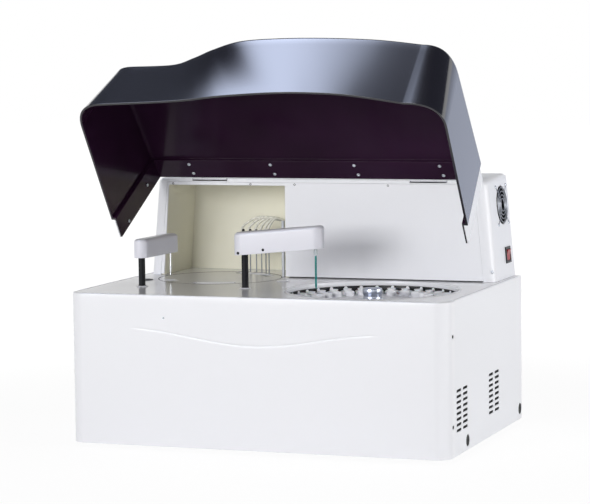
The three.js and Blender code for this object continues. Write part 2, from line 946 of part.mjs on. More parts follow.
// A hinge's fixed leaf on the tower's roof, with its barrel and pin.
function hingeBracket(name, side) {
  const centre = side * hingeReach;
  const z = deckTop + lidHingeHeight;
  const half = hingeFixedLength / 2 - runGap / 2;
  const start = lidHingeY + hingeBarrelRadius / 2;
  const end = start + hingeLeafDepth;
  const under = (y) => towerRoof(y) + fitGap;
  const barrel = barX(hingeBarrelRadius, centre - half, centre + half, smallSides, lidHingeY, z);
  const pinHalf = hingeFixedLength / 2 + hingeMovingLength;
  const pin = barX(hingePinRadius, centre - pinHalf, centre + pinHalf, smallSides, lidHingeY, z);
  const leaf = acrossX(
    [
      [lidHingeY, z - hingeLeafSheet / 2],
      [start + hingeBarrelRadius, under(start + hingeBarrelRadius)],
      [end, under(end)],
      [end, under(end) + hingeLeafSheet],
      [start + hingeBarrelRadius, under(start + hingeBarrelRadius) + hingeLeafSheet],
      [lidHingeY, z + hingeBarrelRadius / 2],
    ],
    centre - half,
    centre + half,
  );
  return part(name, join(barrel, pin, leaf), whitePaint);
}

// Height of the closed lid's roof at a depth.
function lidRoof(y) {
  return deckTop + lidCrownHeight + (y - lidFrontY) * Math.tan(radians(lidRoofSlope));
}

// One of the lid's front curves, from shares of its half width and of its forward bulge.
function lidCurve(shares, half) {
  const points = shares.map(([across, forward]) => {
    return new THREE.Vector2(across * half, lidFrontY - forward * lidBulge);
  });
  return new THREE.SplineCurve(points).getPoints(lidCurveSteps);
}

// The plan of the lid along one of its front curves, with rounded corners into the side walls.
function lidPlan(shares, half, rearY) {
  const curve = lidCurve(shares, half);
  const corner = (side, end) => {
    const knee = new THREE.Vector2(side * half, end.y);
    const start = new THREE.Vector2(side * half, lidCornerStartY);
    return new THREE.QuadraticBezierCurve(start, knee, end).getPoints(lidCornerSteps);
  };
  const left = corner(-1, curve[0]);
  const right = corner(1, curve.at(-1)).reverse();
  const front = [...left, ...curve.slice(1, -1), ...right];
  return [new THREE.Vector2(-half, rearY), ...front, new THREE.Vector2(half, rearY)];
}

// The same plan moved inwards by a distance along its own normals.
function insetPlan(plan, distance, rearY) {
  return plan.map((point, i) => {
    const before = plan[Math.max(i - 1, 0)];
    const after = plan[Math.min(i + 1, plan.length - 1)];
    const along = after.clone().sub(before).normalize();
    const moved = new THREE.Vector2(point.x - along.y * distance, point.y + along.x * distance);
    if (i === 0 || i === plan.length - 1) moved.y = rearY;
    return moved;
  });
}

// The lid's front box as a solid: its lip curve below, its crown curve above, its edge rounded.
function lidBody(wall, bottom, rearY) {
  const lip = insetPlan(lidPlan(lidLipShares, lidSideFoot, rearY), wall, rearY);
  const crown = insetPlan(lidPlan(lidCrownShares, lidSideTop, rearY), wall, rearY);
  const rings = [lip.map(({ x, y }) => [x, y, bottom])];
  const radius = lidEdgeRadius - wall;
  for (let i = 0; i <= filletSteps; i += 1) {
    const angle = (i / filletSteps) * (Math.PI / 2);
    const ring = insetPlan(crown, radius * (1 - Math.cos(angle)), rearY);
    const drop = radius * (1 - Math.sin(angle)) + wall;
    rings.push(ring.map(({ x, y }) => [x, y, lidRoof(y) - drop]));
  }
  return loft(rings);
}

// The lid's rear sleeve as a solid, inset from the shell, between two depths.
function lidSleeve(inset, bottom, y0, y1) {
  const wideLow = lidSideFoot - inset;
  const wideHigh = lidSideTop - inset;
  const high = (y) => lidRoof(y) - inset;
  const ring = (z, wide) => [
    [-wide, y1, z(y1)],
    [-wide, y0, z(y0)],
    [wide, y0, z(y0)],
    [wide, y1, z(y1)],
  ];
  return loft([ring(() => bottom, wideLow), ring(high, wideHigh)]);
}

const lidBottom = deckTop + lidBottomGap;

function lidShell() {
  const below = lidBottom - overrun;
  const front = lidBody(0, lidBottom, lidHeelY);
  const band = lidSleeve(lidStep, lidBottom, lidHeelY - lidWall, lidRearY);
  const hollow = lidBody(lidWall, below, lidHeelY - lidWall);
  const innerFront = lidHeelY - lidWall - overrun;
  const inner = lidSleeve(lidStep + lidBandWall, below, innerFront, lidRearY + overrun);
  return part("lid_shell", cut(join(front, band), hollow, inner), smokedPlastic);
}

// The white frame that grips the band from outside and carries the moving hinge leaves.
function lidFrame() {
  const near = lidHeelY + fitGap;
  const outer = lidStep - lidFrameSheet - fitGap;
  const strap = cut(
    lidSleeve(outer, lidBottom, near, lidRearY),
    lidSleeve(lidStep - fitGap, lidBottom - overrun, near - overrun, lidRearY + overrun),
  );
  return part("lid_frame", join(strap, ...[-1, 1].flatMap(hingeLeaves)), whitePaint);
}

// Two barrels beside the fixed one, each on a leaf that reaches back from the frame.
function hingeLeaves(side) {
  const z = deckTop + lidHingeHeight;
  const top = (y) => lidRoof(y) - (lidStep - lidFrameSheet - fitGap);
  const leaf = [
    [lidRearY - hingeLeafSheet * 2, top(lidRearY) - lidFrameSheet],
    [lidHingeY, z],
    [lidHingeY, z + hingeBarrelRadius - fitGap],
    [lidRearY - hingeLeafSheet * 2, top(lidRearY)],
  ];
  return [-1, 1].map((end) => {
    const near = side * hingeReach + end * (hingeFixedLength / 2 + runGap / 2);
    const far = side * hingeReach + end * (hingeFixedLength / 2 + hingeMovingLength - runGap / 2);
    const reach = [Math.min(near, far), Math.max(near, far)];
    const barrel = barX(hingeBarrelRadius, ...reach, smallSides, lidHingeY, z);
    const boreRadius = hingePinRadius + fitGap;
    const bore = barX(boreRadius, reach[0] - overrun, reach[1] + overrun, smallSides, lidHingeY, z);
    return cut(join(barrel, acrossX(leaf, ...reach)), bore);
  });
}

function lid() {
  const turn = group(lidShell(), lidFrame());
  const hinge = [0, lidHingeY, deckTop + lidHingeHeight];
  turn.children.forEach((mesh) => mesh.geometry.translate(...hinge.map((v) => -v)));
  turn.position.set(...hinge);
  turn.rotation.x = -radians(lidOpenAngle);
  return turn;
}

// The well that the reagent disc turns in, hung from the deck by its flange.
function reagentPot() {
  const top = deckUnder - fitGap;
  const floor = deckTop - wellDepth;
  const outer = wellRadius + wellWall;
  const profile = [
    [wellBoltHole, floor],
    [outer, floor],
    [outer, top - wellWall],
    [outer + wellFlange, top - wellWall],
    [outer + wellFlange, top],
    [wellRadius, top],
    [wellRadius, floor + wellWall],
    [wellBoltHole, floor + wellWall],
  ];
  return part("reagent_pot", turned(profile, fineSides), blackPlastic);
}

// One wedge bottle with its open neck and its tab, standing on the disc's floor at a bearing.
function bottle(index) {
  const degrees = bottleStart + index * bottlePitch;
  const half = (at) => at * Math.tan(radians(bottlePitch / 2)) - bottleSideGap / 2;
  const floor = deckTop - discFloorDepth - fitGap;
  const shoulder = deckTop - bottleShoulderDepth;
  const top = deckTop - bottleTopDepth;
  const wedge = slab(
    [
      [bottleInner, -half(bottleInner)],
      [bottleOuter, -half(bottleOuter)],
      [bottleOuter, half(bottleOuter)],
      [bottleInner, half(bottleInner)],
    ],
    floor,
    shoulder,
  );
  const neck = post(bottleNeckRadius, shoulder - overrun, top, tinySides, bottleNeckAt);
  const tab = block(
    [bottleOuter - bottleTabSheet, bottleOuter],
    [-bottleTabWidth / 2, bottleTabWidth / 2],
    [shoulder - overrun, deckTop - bottleTabDepth],
  );
  const bore = post(bottleBore, top - bottleBoreDepth, top + overrun, tinySides, bottleNeckAt);
  return cut(join(wedge, neck, tab), bore).rotateZ(radians(degrees));
}

// The turning disc: floor, hub and its outer circle of bottles.
function discTray() {
  const top = deckTop - discFloorDepth;
  const low = top - discFloorSheet;
  const hubTop = deckTop - rackDepth - rackHeight - fitGap;
  const bore = discShaftRadius + fitGap;
  const floor = turned([[bore, low], [discRadius, low], [discRadius, top], [bore, top]], fineSides);
  const hub = turned(
    [
      [discHubBore, top - discFloorSheet / 2],
      [discHubRadius, top - discFloorSheet / 2],
      [discHubRadius, hubTop],
      [discHubBore, hubTop],
    ],
    roundSides,
  );
  const bottles = Array.from({ length: bottleCount }, (_, i) => bottle(i));
  return part("disc_tray", join(floor, hub, ...bottles), bottleWhite);
}

// The inner rack, a ring with a circle of collared wells for sample cups.
function cupRack() {
  const top = deckTop - rackDepth;
  const cupTop = deckTop - bottleTopDepth;
  const low = top - rackHeight;
  const ring = turned([[rackInner, low], [rackOuter, low], [rackOuter, top], [rackInner, top]], fineSides);
  const collars = [];
  const bores = [];
  for (let i = 0; i < cupCount; i += 1) {
    const place = polar(0, 0, cupAt, cupStart + i * cupPitch);
    collars.push(post(cupRadius, top - overrun, cupTop, tinySides, ...place));
    bores.push(post(cupBore, low + cupWall, cupTop + overrun, tinySides, ...place));
  }
  return part("cup_rack", cut(join(ring, ...collars), ...bores), bottleWhite);
}

// The knob in the middle that the rack is lifted out by.
function discKnob() {
  const low = deckTop - rackDepth + fitGap;
  const high = deckTop + discKnobRise;
  const waist = discKnobRadius * knobWaistShare;
  const profile = [
    [0, low],
    [discKnobRadius, low],
    [discKnobRadius, low + knobSheet],
    [waist, low + knobSheet * 2],
    [waist, high],
    [0, high],
  ];
  return part("disc_knob", turned(profile, roundSides), steel);
}

// A stepper with its shaft, standing with its top face at a height.
function stepper(name, top, shaftTop, shaftRadius) {
  const half = driveBody / 2;
  const body = block([-half, half], [-half, half], [top - driveHeight, top]);
  const shaft = post(shaftRadius, top - overrun, shaftTop, smallSides);
  return part(name, join(body, shaft), blackPlastic);
}

function discMotor() {
  const top = deckTop - wellDepth - fitGap;
  return stepper("disc_motor", top, deckTop - discFloorDepth - fitGap, discShaftRadius);
}

function reagentStation() {
  const station = group(reagentPot(), discTray(), cupRack(), discKnob(), discMotor());
  station.position.set(wellX, wellY, 0);
  return station;
}

// The heated trough round the ring of cuvettes.
function incubatorTrough() {
  const top = deckUnder - fitGap;
  const floor = deckTop - troughFloorDepth;
  const profile = [
    [troughInner, floor],
    [troughOuter + troughWall, floor],
    [troughOuter + troughWall, top - troughFlangeDrop],
    [ringOpening + troughFlangeDrop, top - troughFlangeDrop],
    [ringOpening + troughFlangeDrop, top],
    [troughOuter, top],
    [troughOuter, floor + troughWall],
    [troughInner + troughWall, floor + troughWall],
    [troughInner + troughWall, top - troughInnerDrop],
    [troughInner, top - troughInnerDrop],
  ];
  return part("incubator_trough", turned(profile, fineSides), greyCast);
}

// The flat cover over the reaction disc, with windows where probe, mixer and washer reach in.
function reactionCover() {
  const top = deckTop;
  const low = deckTop - coverSheet;
  const radius = ringOpening - fitGap;
  const steps = filletSteps * 2;
  const slack = cuvettePitch;
  const washFrom = cuvetteStart + washFirstPitch * cuvettePitch;
  const windows = [
    sector(windowInner, windowOuter, cuvetteStart - slack * 1.5, cuvetteStart + slack * 4, steps),
    sector(windowInner, windowOuter, mixerCuvetteAngle - slack, mixerCuvetteAngle + slack, filletSteps),
    sector(windowInner, windowOuter, washFrom - slack, washFrom + washNeedles * slack, steps),
  ];
  return part("reaction_cover", slab(circle(0, 0, radius, fineSides), low, top, windows), whitePaint);
}

// The turning ring of cuvettes on its spoked carrier.
function cuvetteRing() {
  const top = deckTop - cuvetteTopDepth;
  const under = top - carrierSheet;
  const rim = cuvetteAt + cuvetteLong / 2 + cuvetteWall;
  const hub = turned(
    [
      [ringSpindleRadius + runGap, under],
      [rim, under],
      [rim, top],
      [ringSpindleRadius + runGap, top],
    ],
    fineSides,
  );
  const bodies = [];
  const bores = [];
  for (let i = 0; i < cuvetteCount; i += 1) {
    const turn = radians(cuvetteStart + i * cuvettePitch);
    const outer = [cuvetteAt - cuvetteLong / 2, cuvetteAt + cuvetteLong / 2];
    const inner = [outer[0] + cuvetteWall, outer[1] - cuvetteWall];
    const half = cuvetteWide / 2;
    const slot = half - cuvetteWall;
    const low = top - cuvetteHeight;
    bodies.push(block(outer, [-half, half], [low, top]).rotateZ(turn));
    bores.push(block(inner, [-slot, slot], [low + cuvetteWall, top + overrun]).rotateZ(turn));
  }
  const lightening = [];
  for (let i = 0; i < standLegs; i += 1) {
    const from = (i * 360) / standLegs;
    const pocket = sector(ringHubRadius * 1.5, troughInner - troughWall, from, from + carrierPocketSweep, filletSteps);
    lightening.push(slab(pocket, under - overrun, top + overrun));
  }
  const ring = cut(join(hub, ...bodies), ...bores, ...lightening);
  return part("cuvette_ring", ring, clearPlastic);
}

// Outline of a spur gear with straight-flanked teeth, one tooth centred on a bearing.
function gearOutline(teeth, start) {
  const pitchRadius = (gearModule * teeth) / 2;
  const tip = pitchRadius + gearModule;
  const root = pitchRadius - gearModule * toothDepthShare;
  const pitchAngle = 360 / teeth;
  const slack = THREE.MathUtils.radToDeg(gearBacklash / pitchRadius);
  const points = [];
  for (let i = 0; i < teeth; i += 1) {
    const centre = start + i * pitchAngle;
    const wide = pitchAngle * toothRootShare - slack;
    const narrow = pitchAngle * toothTipShare - slack / 2;
    points.push(polar(0, 0, root, centre - wide));
    points.push(polar(0, 0, tip, centre - narrow));
    points.push(polar(0, 0, tip, centre + narrow));
    points.push(polar(0, 0, root, centre + wide));
  }
  return points;
}

function reactionGear() {
  const low = deckTop - gearDepth;
  const high = low + gearThickness;
  const bore = circle(0, 0, ringSpindleRadius + runGap, roundSides);
  const rim = slab(gearOutline(gearTeeth, pinionAngle), low, high, [bore]);
  const rootRadius = (gearModule * gearTeeth) / 2 - gearModule * 3;
  const pocket = turned(
    [
      [ringHubRadius, low + gearWeb],
      [rootRadius, low + gearWeb],
      [rootRadius, high + overrun],
      [ringHubRadius, high + overrun],
    ],
    roundSides,
  );
  const hubTop = deckTop - cuvetteTopDepth - carrierSheet - fitGap;
  const hub = turned(
    [
      [ringSpindleRadius + runGap, low],
      [ringHubRadius, low],
      [ringHubRadius, hubTop],
      [ringSpindleRadius + runGap, hubTop],
    ],
    roundSides,
  );
  return part("reaction_gear", join(cut(rim, pocket), hub), brass);
}

// Distance from the gear's axis to the pinion's.
const pinionAt = (gearModule * (gearTeeth + pinionTeeth)) / 2;

function reactionPinion() {
  const low = deckTop - gearDepth;
  const outline = gearOutline(pinionTeeth, pinionAngle + 180 + 180 / pinionTeeth);
  const bore = circle(0, 0, pinionShaft + fitGap, smallSides);
  const pinion = part("reaction_pinion", slab(outline, low, low + gearThickness, [bore]), brass);
  pinion.position.set(...polar(0, 0, pinionAt, pinionAngle), 0);
  return pinion;
}

// The stand under the reaction disc: a plate on legs with the spindle that the disc turns on.
function reactionStand() {
  const top = deckTop - standPlateDepth;
  const spindleTop = deckTop - cuvetteTopDepth - fitGap;
  const motor = polar(0, 0, pinionAt, pinionAngle);
  const plate = slab(circle(0, 0, standRadius, roundSides), top - standPlate, top, [
    circle(...motor, pinionShaft * 3, smallSides),
  ]);
  const gearSeat = deckTop - gearDepth - fitGap;
  const spindle = turned(
    [
      [0, top - standPlate],
      [ringHubRadius, top - standPlate],
      [ringHubRadius, gearSeat],
      [ringSpindleRadius, gearSeat],
      [ringSpindleRadius, spindleTop],
      [0, spindleTop],
    ],
    smallSides,
  );
  const troughSeat = deckTop - troughFloorDepth - fitGap;
  const legs = Array.from({ length: standLegs }, (_, i) => {
    const place = polar(0, 0, standLegAt, ((i + 0.5) * 360) / standLegs);
    return post(standLegRadius, trayTop + fitGap, troughSeat, tinySides, ...place);
  });
  return part("reaction_stand", join(plate, spindle, ...legs), greyCast);
}

function reactionMotor() {
  const top = deckTop - standPlateDepth - standPlate - fitGap;
  const shaftTop = deckTop - gearDepth + gearThickness;
  const motor = stepper("reaction_motor", top, shaftTop, pinionShaft);
  motor.position.set(...polar(0, 0, pinionAt, pinionAngle), 0);
  return motor;
}

// The photometer against the trough's outer wall, on its own foot.
function photometer() {
  const near = troughOuter + troughWall + fitGap;
  const high = deckUnder - troughFlangeDrop - fitGap * 2;
  const half = meterWidth / 2;
  const bodyBlock = block([near, near + meterLength], [-half, half], [high - meterHeight, high]);
  const leg = block(
    [near + meterLength / 2, near + meterLength],
    [-half / 2, half / 2],
    [trayTop + fitGap, high - meterHeight + overrun],
  );
  return part("photometer", join(bodyBlock, leg).rotateZ(radians(meterAngle)), blackPlastic);
}

function reactionStation() {
  const station = group(
    incubatorTrough(),
    reactionCover(),
    cuvetteRing(),
    reactionGear(),
    reactionPinion(),
    reactionStand(),
    reactionMotor(),
    photometer(),
  );
  station.position.set(ringX, ringY, 0);
  return station;
}

// The flanged bush in the deck that a column slides and turns in.
function columnGuide(name, x, y) {
  const low = deckUnder - guideLength + deckThickness;
  const seat = deckTop + fitGap;
  const bore = columnRadius + runGap;
  const profile = [
    [bore, low],
    [guideRadius, low],
    [guideRadius, seat],
    [guideFlange, seat],
    [guideRadius, seat + guideFlangeSheet],
    [bore, seat + guideFlangeSheet],
  ];
  const bush = part(name, turned(profile, roundSides), blackPlastic);
  bush.position.set(x, y, 0);
  return bush;
}

// The upright rod that carries an arm.
function columnRod(top) {
  return post(columnRadius, columnFootHeight, top, roundSides);
}

// The fixed frame of a lift: foot, back plate, two rods and a top plate round the column.
function liftFrame(name) {
  const low = trayTop + fitGap;
  const high = deckUnder - liftTopDepth;
  const half = liftWidth / 2;
  const footPlate = block([-half, half], [-liftFront, liftBack], [low, low + liftSheet]);
  const back = block([-half, half], [liftBack - liftSheet, liftBack], [low, high]);
  const top = slab(
    rectangle([-half, half], [-liftFront, liftBack]),
    high - liftSheet,
    high,
    [circle(0, 0, columnRadius + runGap * 2, smallSides)],
  );
  const rods = [-1, 1].map((side) => {
    const x = side * liftRodSpread;
    return post(liftRodRadius, low, high - liftSheet / 2, smallSides, x, liftRodBack - liftRodRadius * 2);
  });
  return part(name, join(footPlate, back, top, ...rods), steel);
}

// The carriage that climbs the rods, with the motor that turns the column.
function liftCarriage(name) {
  const top = columnFootHeight - fitGap;
  const low = top - liftCarriageHeight;
  const half = liftWidth / 2 - liftSheet;
  const rodY = liftRodBack - liftRodRadius * 2;
  const body = block([-half, half], [-liftFront, liftBack - liftSheet - runGap * 2], [low, top]);
  const side = liftMotorSide / 2;
  const motorFront = liftMotorSide / 4;
  const motor = block(
    [-side / 2, side / 2],
    [-motorFront - liftRodRadius, motorFront - liftRodRadius],
    [low - liftMotorHeight, low + overrun],
  );
  const holes = [-1, 1].map((end) => {
    const x = end * liftRodSpread;
    return post(liftRodRadius + runGap, low - overrun, top + overrun, smallSides, x, rodY);
  });
  return part(name, cut(join(body, motor), ...holes), greyCast);
}

// Plan of an arm: round about its column at the origin and round at its nose.
function armPlan(reach, tail, nose, width) {
  const radius = width / 2;
  const steps = filletSteps + 1;
  return (inset) => [
    ...arc(radius - tail, 0, radius - inset, 90, 270, steps),
    ...arc(reach + nose - radius, 0, radius - inset, -90, 90, steps),
  ];
}

// Leans a piece of an arm, so that it rises from the column to the nose.
function leaned(geometry, lean) {
  return geometry.applyMatrix4(new THREE.Matrix4().makeShear(0, lean, 0, 0, 0, 0));
}

// The plate of an arm, hidden in its cover and seated against the cover's walls.
function armPlate(reach, tail, nose, width, low, lean) {
  const inset = coverWall + fitGap;
  const plan = armPlan(reach, tail - inset, nose - inset, width - inset * 2);
  const under = low + armInset;
  return leaned(slab(plan(0), under, under + armSheet), lean);
}

// The moulded cover over an arm: a thin shell with a rounded top.
function armCover(name, reach, tail, nose, width, low, height, lean) {
  const wall = coverWall;
  const top = low + height;
  const outside = roundTopped(
    armPlan(reach, tail, nose, width),
    low,
    () => top,
    coverRadius,
    filletSteps,
  );
  const inside = roundTopped(
    armPlan(reach, tail - wall, nose - wall, width - wall * 2),
    low - overrun,
    () => top - wall,
    coverRadius - wall,
    filletSteps,
  );
  return part(name, leaned(cut(outside, inside), lean), whitePlastic);
}

// The probe's needle in its sleeve, hung under the arm's nose.
function probeNeedle() {
  const tip = deckTop + needleTipGap;
  const rise = (probeReach - needleSleeveRadius) * probeArmLean;
  const top = deckTop + probeArmHeight + armInset + rise - fitGap;
  const profile = [
    [0, tip],
    [needleTipRadius, tip],
    [needleRadius, tip + needleTipLength],
    [needleRadius, top - needleSleeveLength],
    [needleSleeveRadius, top - needleSleeveLength + needleRadius],
    [needleSleeveRadius, top],
    [0, top],
  ];
  const needle = part("probe_needle", turned(profile, smallSides), tealCoat);
  needle.position.set(probeReach, 0, 0);
  return needle;
}

function probeStation() {
  const low = deckTop + probeArmHeight;
  const columnTop = low + armInset - columnRadius * probeArmLean - fitGap;
  const shape = [probeReach, probeTail, probeNose, probeCoverWidth, low];
  const arm = group(
    part("probe_column", columnRod(columnTop), blackPlastic),
    part("probe_arm", armPlate(...shape, probeArmLean), whitePlastic),
    armCover("probe_cover", ...shape, probeCoverHeight, probeArmLean),
    probeNeedle(),
  );
  arm.position.set(probeX, probeY, 0);
  arm.rotation.z = radians(probeRestAngle);
  const lift = group(liftFrame("probe_frame"), liftCarriage("probe_carriage"));
  lift.position.set(probeX, probeY, 0);
  return group(arm, lift, columnGuide("probe_guide", probeX, probeY));
}

// The mixing paddle: a thin shaft with a flat blade.
function mixerPaddle() {
  const tip = deckTop + paddleTipGap;
  const top = deckTop + mixerArmHeight + armInset - fitGap;
  const shaft = post(paddleRadius, tip + paddleBladeHeight / 2, top, tinySides);
  const half = paddleBladeWidth / 2;
  const blade = block(
    [-half, half],
    [-paddleBladeThickness / 2, paddleBladeThickness / 2],
    [tip, tip + paddleBladeHeight],
  );
  const paddle = part("mixer_paddle", join(shaft, blade), steel);
  paddle.position.set(mixerReach, 0, 0);
  return paddle;
}

function mixerStation() {
  const low = deckTop + mixerArmHeight;
  const columnTop = low + armInset + armSheet / 2;
  const shape = [mixerReach, mixerTail, mixerNose, mixerCoverWidth, low];
  const arm = group(
    part("mixer_arm", join(columnRod(columnTop), armPlate(...shape, 0)), greyCast),
    armCover("mixer_cover", ...shape, mixerCoverHeight, 0),
    mixerPaddle(),
  );
  arm.position.set(mixerX, mixerY, 0);
  arm.rotation.z = radians(mixerRestAngle);
  const lift = group(liftFrame("mixer_frame"), liftCarriage("mixer_carriage"));
  lift.position.set(mixerX, mixerY, 0);
  return group(arm, lift, columnGuide("mixer_guide", mixerX, mixerY));
}

// A rinse pot set into the deck at the end of an arm's swing.
function rinsePot(name, [x, y]) {
  const seat = deckTop + fitGap;
  const low = deckTop - potDepth;
  const profile = [
    [0, low],
    [potRadius, low],
    [potRadius, seat],
    [potFlangeRadius, seat],
    [potFlangeRadius, seat + potFlangeSheet],
    [potBore, seat + potFlangeSheet],
    [potBore, low + potFlangeSheet],
    [0, low + potFlangeSheet],
  ];
  const pot = part(name, turned(profile, roundSides), blackPlastic);
  pot.position.set(x, y, 0);
  return pot;
}

function rinsePots() {
  return group(
    rinsePot("probe_rinse_pot", polar(probeX, probeY, probeReach, probePotAngle)),
    rinsePot("mixer_rinse_pot", polar(mixerX, mixerY, mixerReach, mixerRestAngle + mixerTurn)),
  );
}

function washPost() {
  const low = deckTop + fitGap;
  const rod = post(washPostRadius, low, low + washPostHeight, smallSides);
  const made = part("wash_post", rod, chrome);
  made.position.set(washPostX, washPostY, 0);
  return made;
}

const washFirstAngle = cuvetteStart + washFirstPitch * cuvettePitch;
const washAngles = Array.from({ length: washNeedles }, (_, i) => washFirstAngle + i * cuvettePitch);

// A bar that follows the ring of cuvettes over the washer's needles.
function washBow(width, low, high) {
  const margin = cuvettePitch * washHeadMarginShare;
  const bow = sector(
    cuvetteAt - width / 2,
    cuvetteAt + width / 2,
    washAngles[0] - margin,
    washAngles.at(-1) + margin,
    filletSteps * 2,
  );
  return slab(bow, low, high).translate(ringX, ringY, 0);
}

// The washer's head: an arc over the cuvettes with its needles, on an arm from the post.
function washHead() {
  const low = deckTop + washHeadDepth;
  const high = low + washHeadHeight;
  const bar = washBow(washHeadWidth, low, high);
  const boss = post(washBossRadius, low, high, smallSides, washPostX, washPostY);
  const first = polar(ringX, ringY, cuvetteAt, washAngles[0]);
  const length = Math.hypot(first[0] - washPostX, first[1] - washPostY);
  const link = block([0, length], [-washArmWidth / 2, washArmWidth / 2], [low, high])
    .rotateZ(radians(bearing(washPostX, washPostY, ...first)))
    .translate(washPostX, washPostY, 0);
  const needles = washAngles.map((degrees) => {
    const place = polar(ringX, ringY, cuvetteAt, degrees);
    return post(washNeedleRadius, deckTop + needleTipGap, low + overrun, tinySides, ...place);
  });
  const bore = post(
    washPostRadius + runGap,
    low - overrun,
    high + overrun,
    smallSides,
    washPostX,
    washPostY,
  );
  return part("wash_head", cut(join(bar, boss, link, ...needles), bore), steel);
}

// The thin tubes from the header on the washer's head over to the clip on the bay's right wall.
function washTubes() {
  const low = deckTop + washHeadDepth + washHeadHeight + fitGap;
  const start = low + washHeaderSheet;
  const end = deckTop + washClipHeight;
  const clipX = bayRight - washClipThickness - fitGap;
  const section = new THREE.Shape(
    circle(0, 0, washTubeRadius, washTubeSides).map(([x, y]) => new THREE.Vector2(x, y)),
  );
  const tubes = Array.from({ length: washTubeCount }, (_, i) => {
    const degrees = washAngles[0] + ((washAngles.at(-1) - washAngles[0]) * i) / (washTubeCount - 1);
    const [x, y] = polar(ringX, ringY, cuvetteAt, degrees);
    const clipY = washClipY + (i - (washTubeCount - 1) / 2) * washClipPitch;
    const path = new THREE.CatmullRomCurve3([
      new THREE.Vector3(x, y, low + washHeaderSheet / 2),
      new THREE.Vector3(x, y, start + washTubeRise / 2),
      new THREE.Vector3((x * 2 + clipX) / 3, (y * 2 + clipY) / 3, end + washTubeCrest),
      new THREE.Vector3((x + clipX * 3) / 4, clipY, end),
      new THREE.Vector3(clipX, clipY, end),
    ]);
    return new THREE.ExtrudeGeometry(section, { steps: washTubeSteps, extrudePath: path });
  });
  const header = washBow(washHeaderWidth, low, start);
  return part("wash_tubes", join(header, ...tubes), clearPlastic);
}

// The clip on the bay's right wall that the tubes end in.
function washClip() {
  const half = (washTubeCount * washClipPitch) / 2;
  const height = deckTop + washClipHeight;
  return block(
    [bayRight - washClipThickness, bayRight + baySheet / 2],
    [washClipY - half, washClipY + half],
    [height - washClipTall / 2, height + washClipTall / 2],
  );
}

function washStation() {
  return group(washPost(), washHead(), washTubes());
}

// The square fan housing inside the tower's right wall, drawn about the fan's axis along X.
function fanFrame() {
  const half = fanSize / 2;
  const back = -towerWall - fitGap - fanDepth;
  const front = -towerWall - fitGap;
  const housing = acrossX(
    roundedRectangle([-half, half], [-half, half], fanCorner, filletSteps),
    back,
    front,
    [circle(0, 0, fanBore, roundSides)],
  );
  const spider = [0, 60, 120].map((degrees) => {
    const reach = fanBore + overrun;
    const strut = block([back, back + fanStrut], [-reach, reach], [-fanStrut / 2, fanStrut / 2]);
    return strut.rotateX(radians(degrees));
  });
  const axle = barX(fanPostRadius, back, -fanAxleEnd, smallSides, 0, 0);
  const seat = barX(fanHubRadius - fanStrut, back, back + fanStrut, roundSides, 0, 0);
  return tilted(join(housing, ...spider, seat, axle), fanY, fanHeight);
}

// The fan's hub and blades; each blade is a plate turned about its own radius.
function fanRotor() {
  const back = -towerWall - fitGap - fanDepth + fanStrut + runGap;
  const front = -towerWall - fitGap - fanStrut;
  const mid = (back + front) / 2;
  const hub = barX(fanHubRadius, back, front, roundSides, 0, 0);
  const chord = (front - back) * 0.8;
  const blades = Array.from({ length: fanBlades }, (_, i) => {
    const plate = block(
      [-chord / 2, chord / 2],
      [-fanBladeThickness / 2, fanBladeThickness / 2],
      [fanHubRadius * fanBladeRootShare, fanBladeTip],
    );
    return plate
      .rotateZ(radians(fanBladeTwist))
      .rotateX((i * 2 * Math.PI) / fanBlades)
      .translate(mid, 0, 0);
  });
  const bore = barX(fanPostRadius + runGap, back - overrun, runGap - fanAxleEnd, smallSides, 0, 0);
  return tilted(cut(join(hub, ...blades), bore), fanY, fanHeight);
}

// The wire guard outside the wall: rings on four spokes.
function fanGuard() {
  const out = fitGap + guardWire;
  const rings = Array.from({ length: guardRings }, (_, i) => {
    const radius = guardFirstRing + i * guardRingPitch;
    const ring = new THREE.TorusGeometry(radius, guardWire, guardWireSides, guardSides);
    return ring.rotateY(Math.PI / 2).translate(out, 0, 0);
  });
  const reach = guardFirstRing + (guardRings - 1) * guardRingPitch + guardWire * 2;
  const spokes = [45, 135].map((degrees) => {
    const spoke = block([out - guardWire / 2, out + guardWire], [-reach, reach], [-guardWire, guardWire]);
    return spoke.rotateX(radians(degrees));
  });
  return tilted(join(...rings, ...spokes), fanY, fanHeight);
}

function fanStation() {
  return group(
    part("fan_frame", fanFrame(), blackPlastic),
    part("fan_rotor", fanRotor(), blackPlastic),
    part("fan_guard", fanGuard(), chrome),
  );
}

// The switch's black bezel and body, drawn with the tower's outer face at x = 0.
function switchBezel() {
  const halfY = switchWide / 2;
  const halfZ = switchTall / 2;
  const rim = switchRimSide;
  const flange = block([fitGap, fitGap + switchFlange], [-halfY, halfY], [-halfZ, halfZ]);
  const body = block(
    [-switchBody, fitGap + switchFlange / 2],
    [rim - halfY, halfY - rim],
    [rim - halfZ, halfZ - rim],
  );
  const well = block(
    [-rockerWellDepth, switchFlange + overrun],
    [rim * 1.5 - halfY, halfY - rim * 1.5],
    [rim * 1.5 - halfZ, halfZ - rim * 1.5],
  );
  return tilted(cut(join(flange, body), well), switchY, switchHeight);
}

// The rocker: its ends are arcs about its pivot, and its face is a shallow valley.
function rocker() {
  const halfY = switchWide / 2 - switchRimSide * 1.5 - runGap;
  const radius = switchTall / 2 - switchRimSide * 1.5 - runGap;
  const low = arc(0, 0, radius, -rockerBackAngle, -rockerFaceAngle, filletSteps);
  const high = arc(0, 0, radius, rockerFaceAngle, rockerBackAngle, filletSteps);
  const profile = [
    ...low,
    [rockerValley, 0],
    ...high,
    [-rockerBack, radius * rockerBackShare],
    [-rockerBack, -radius * rockerBackShare],
  ];
  const seesaw = acrossY(profile, -halfY, halfY).rotateY(radians(rockerTilt));
  return tilted(seesaw, switchY, switchHeight);
}

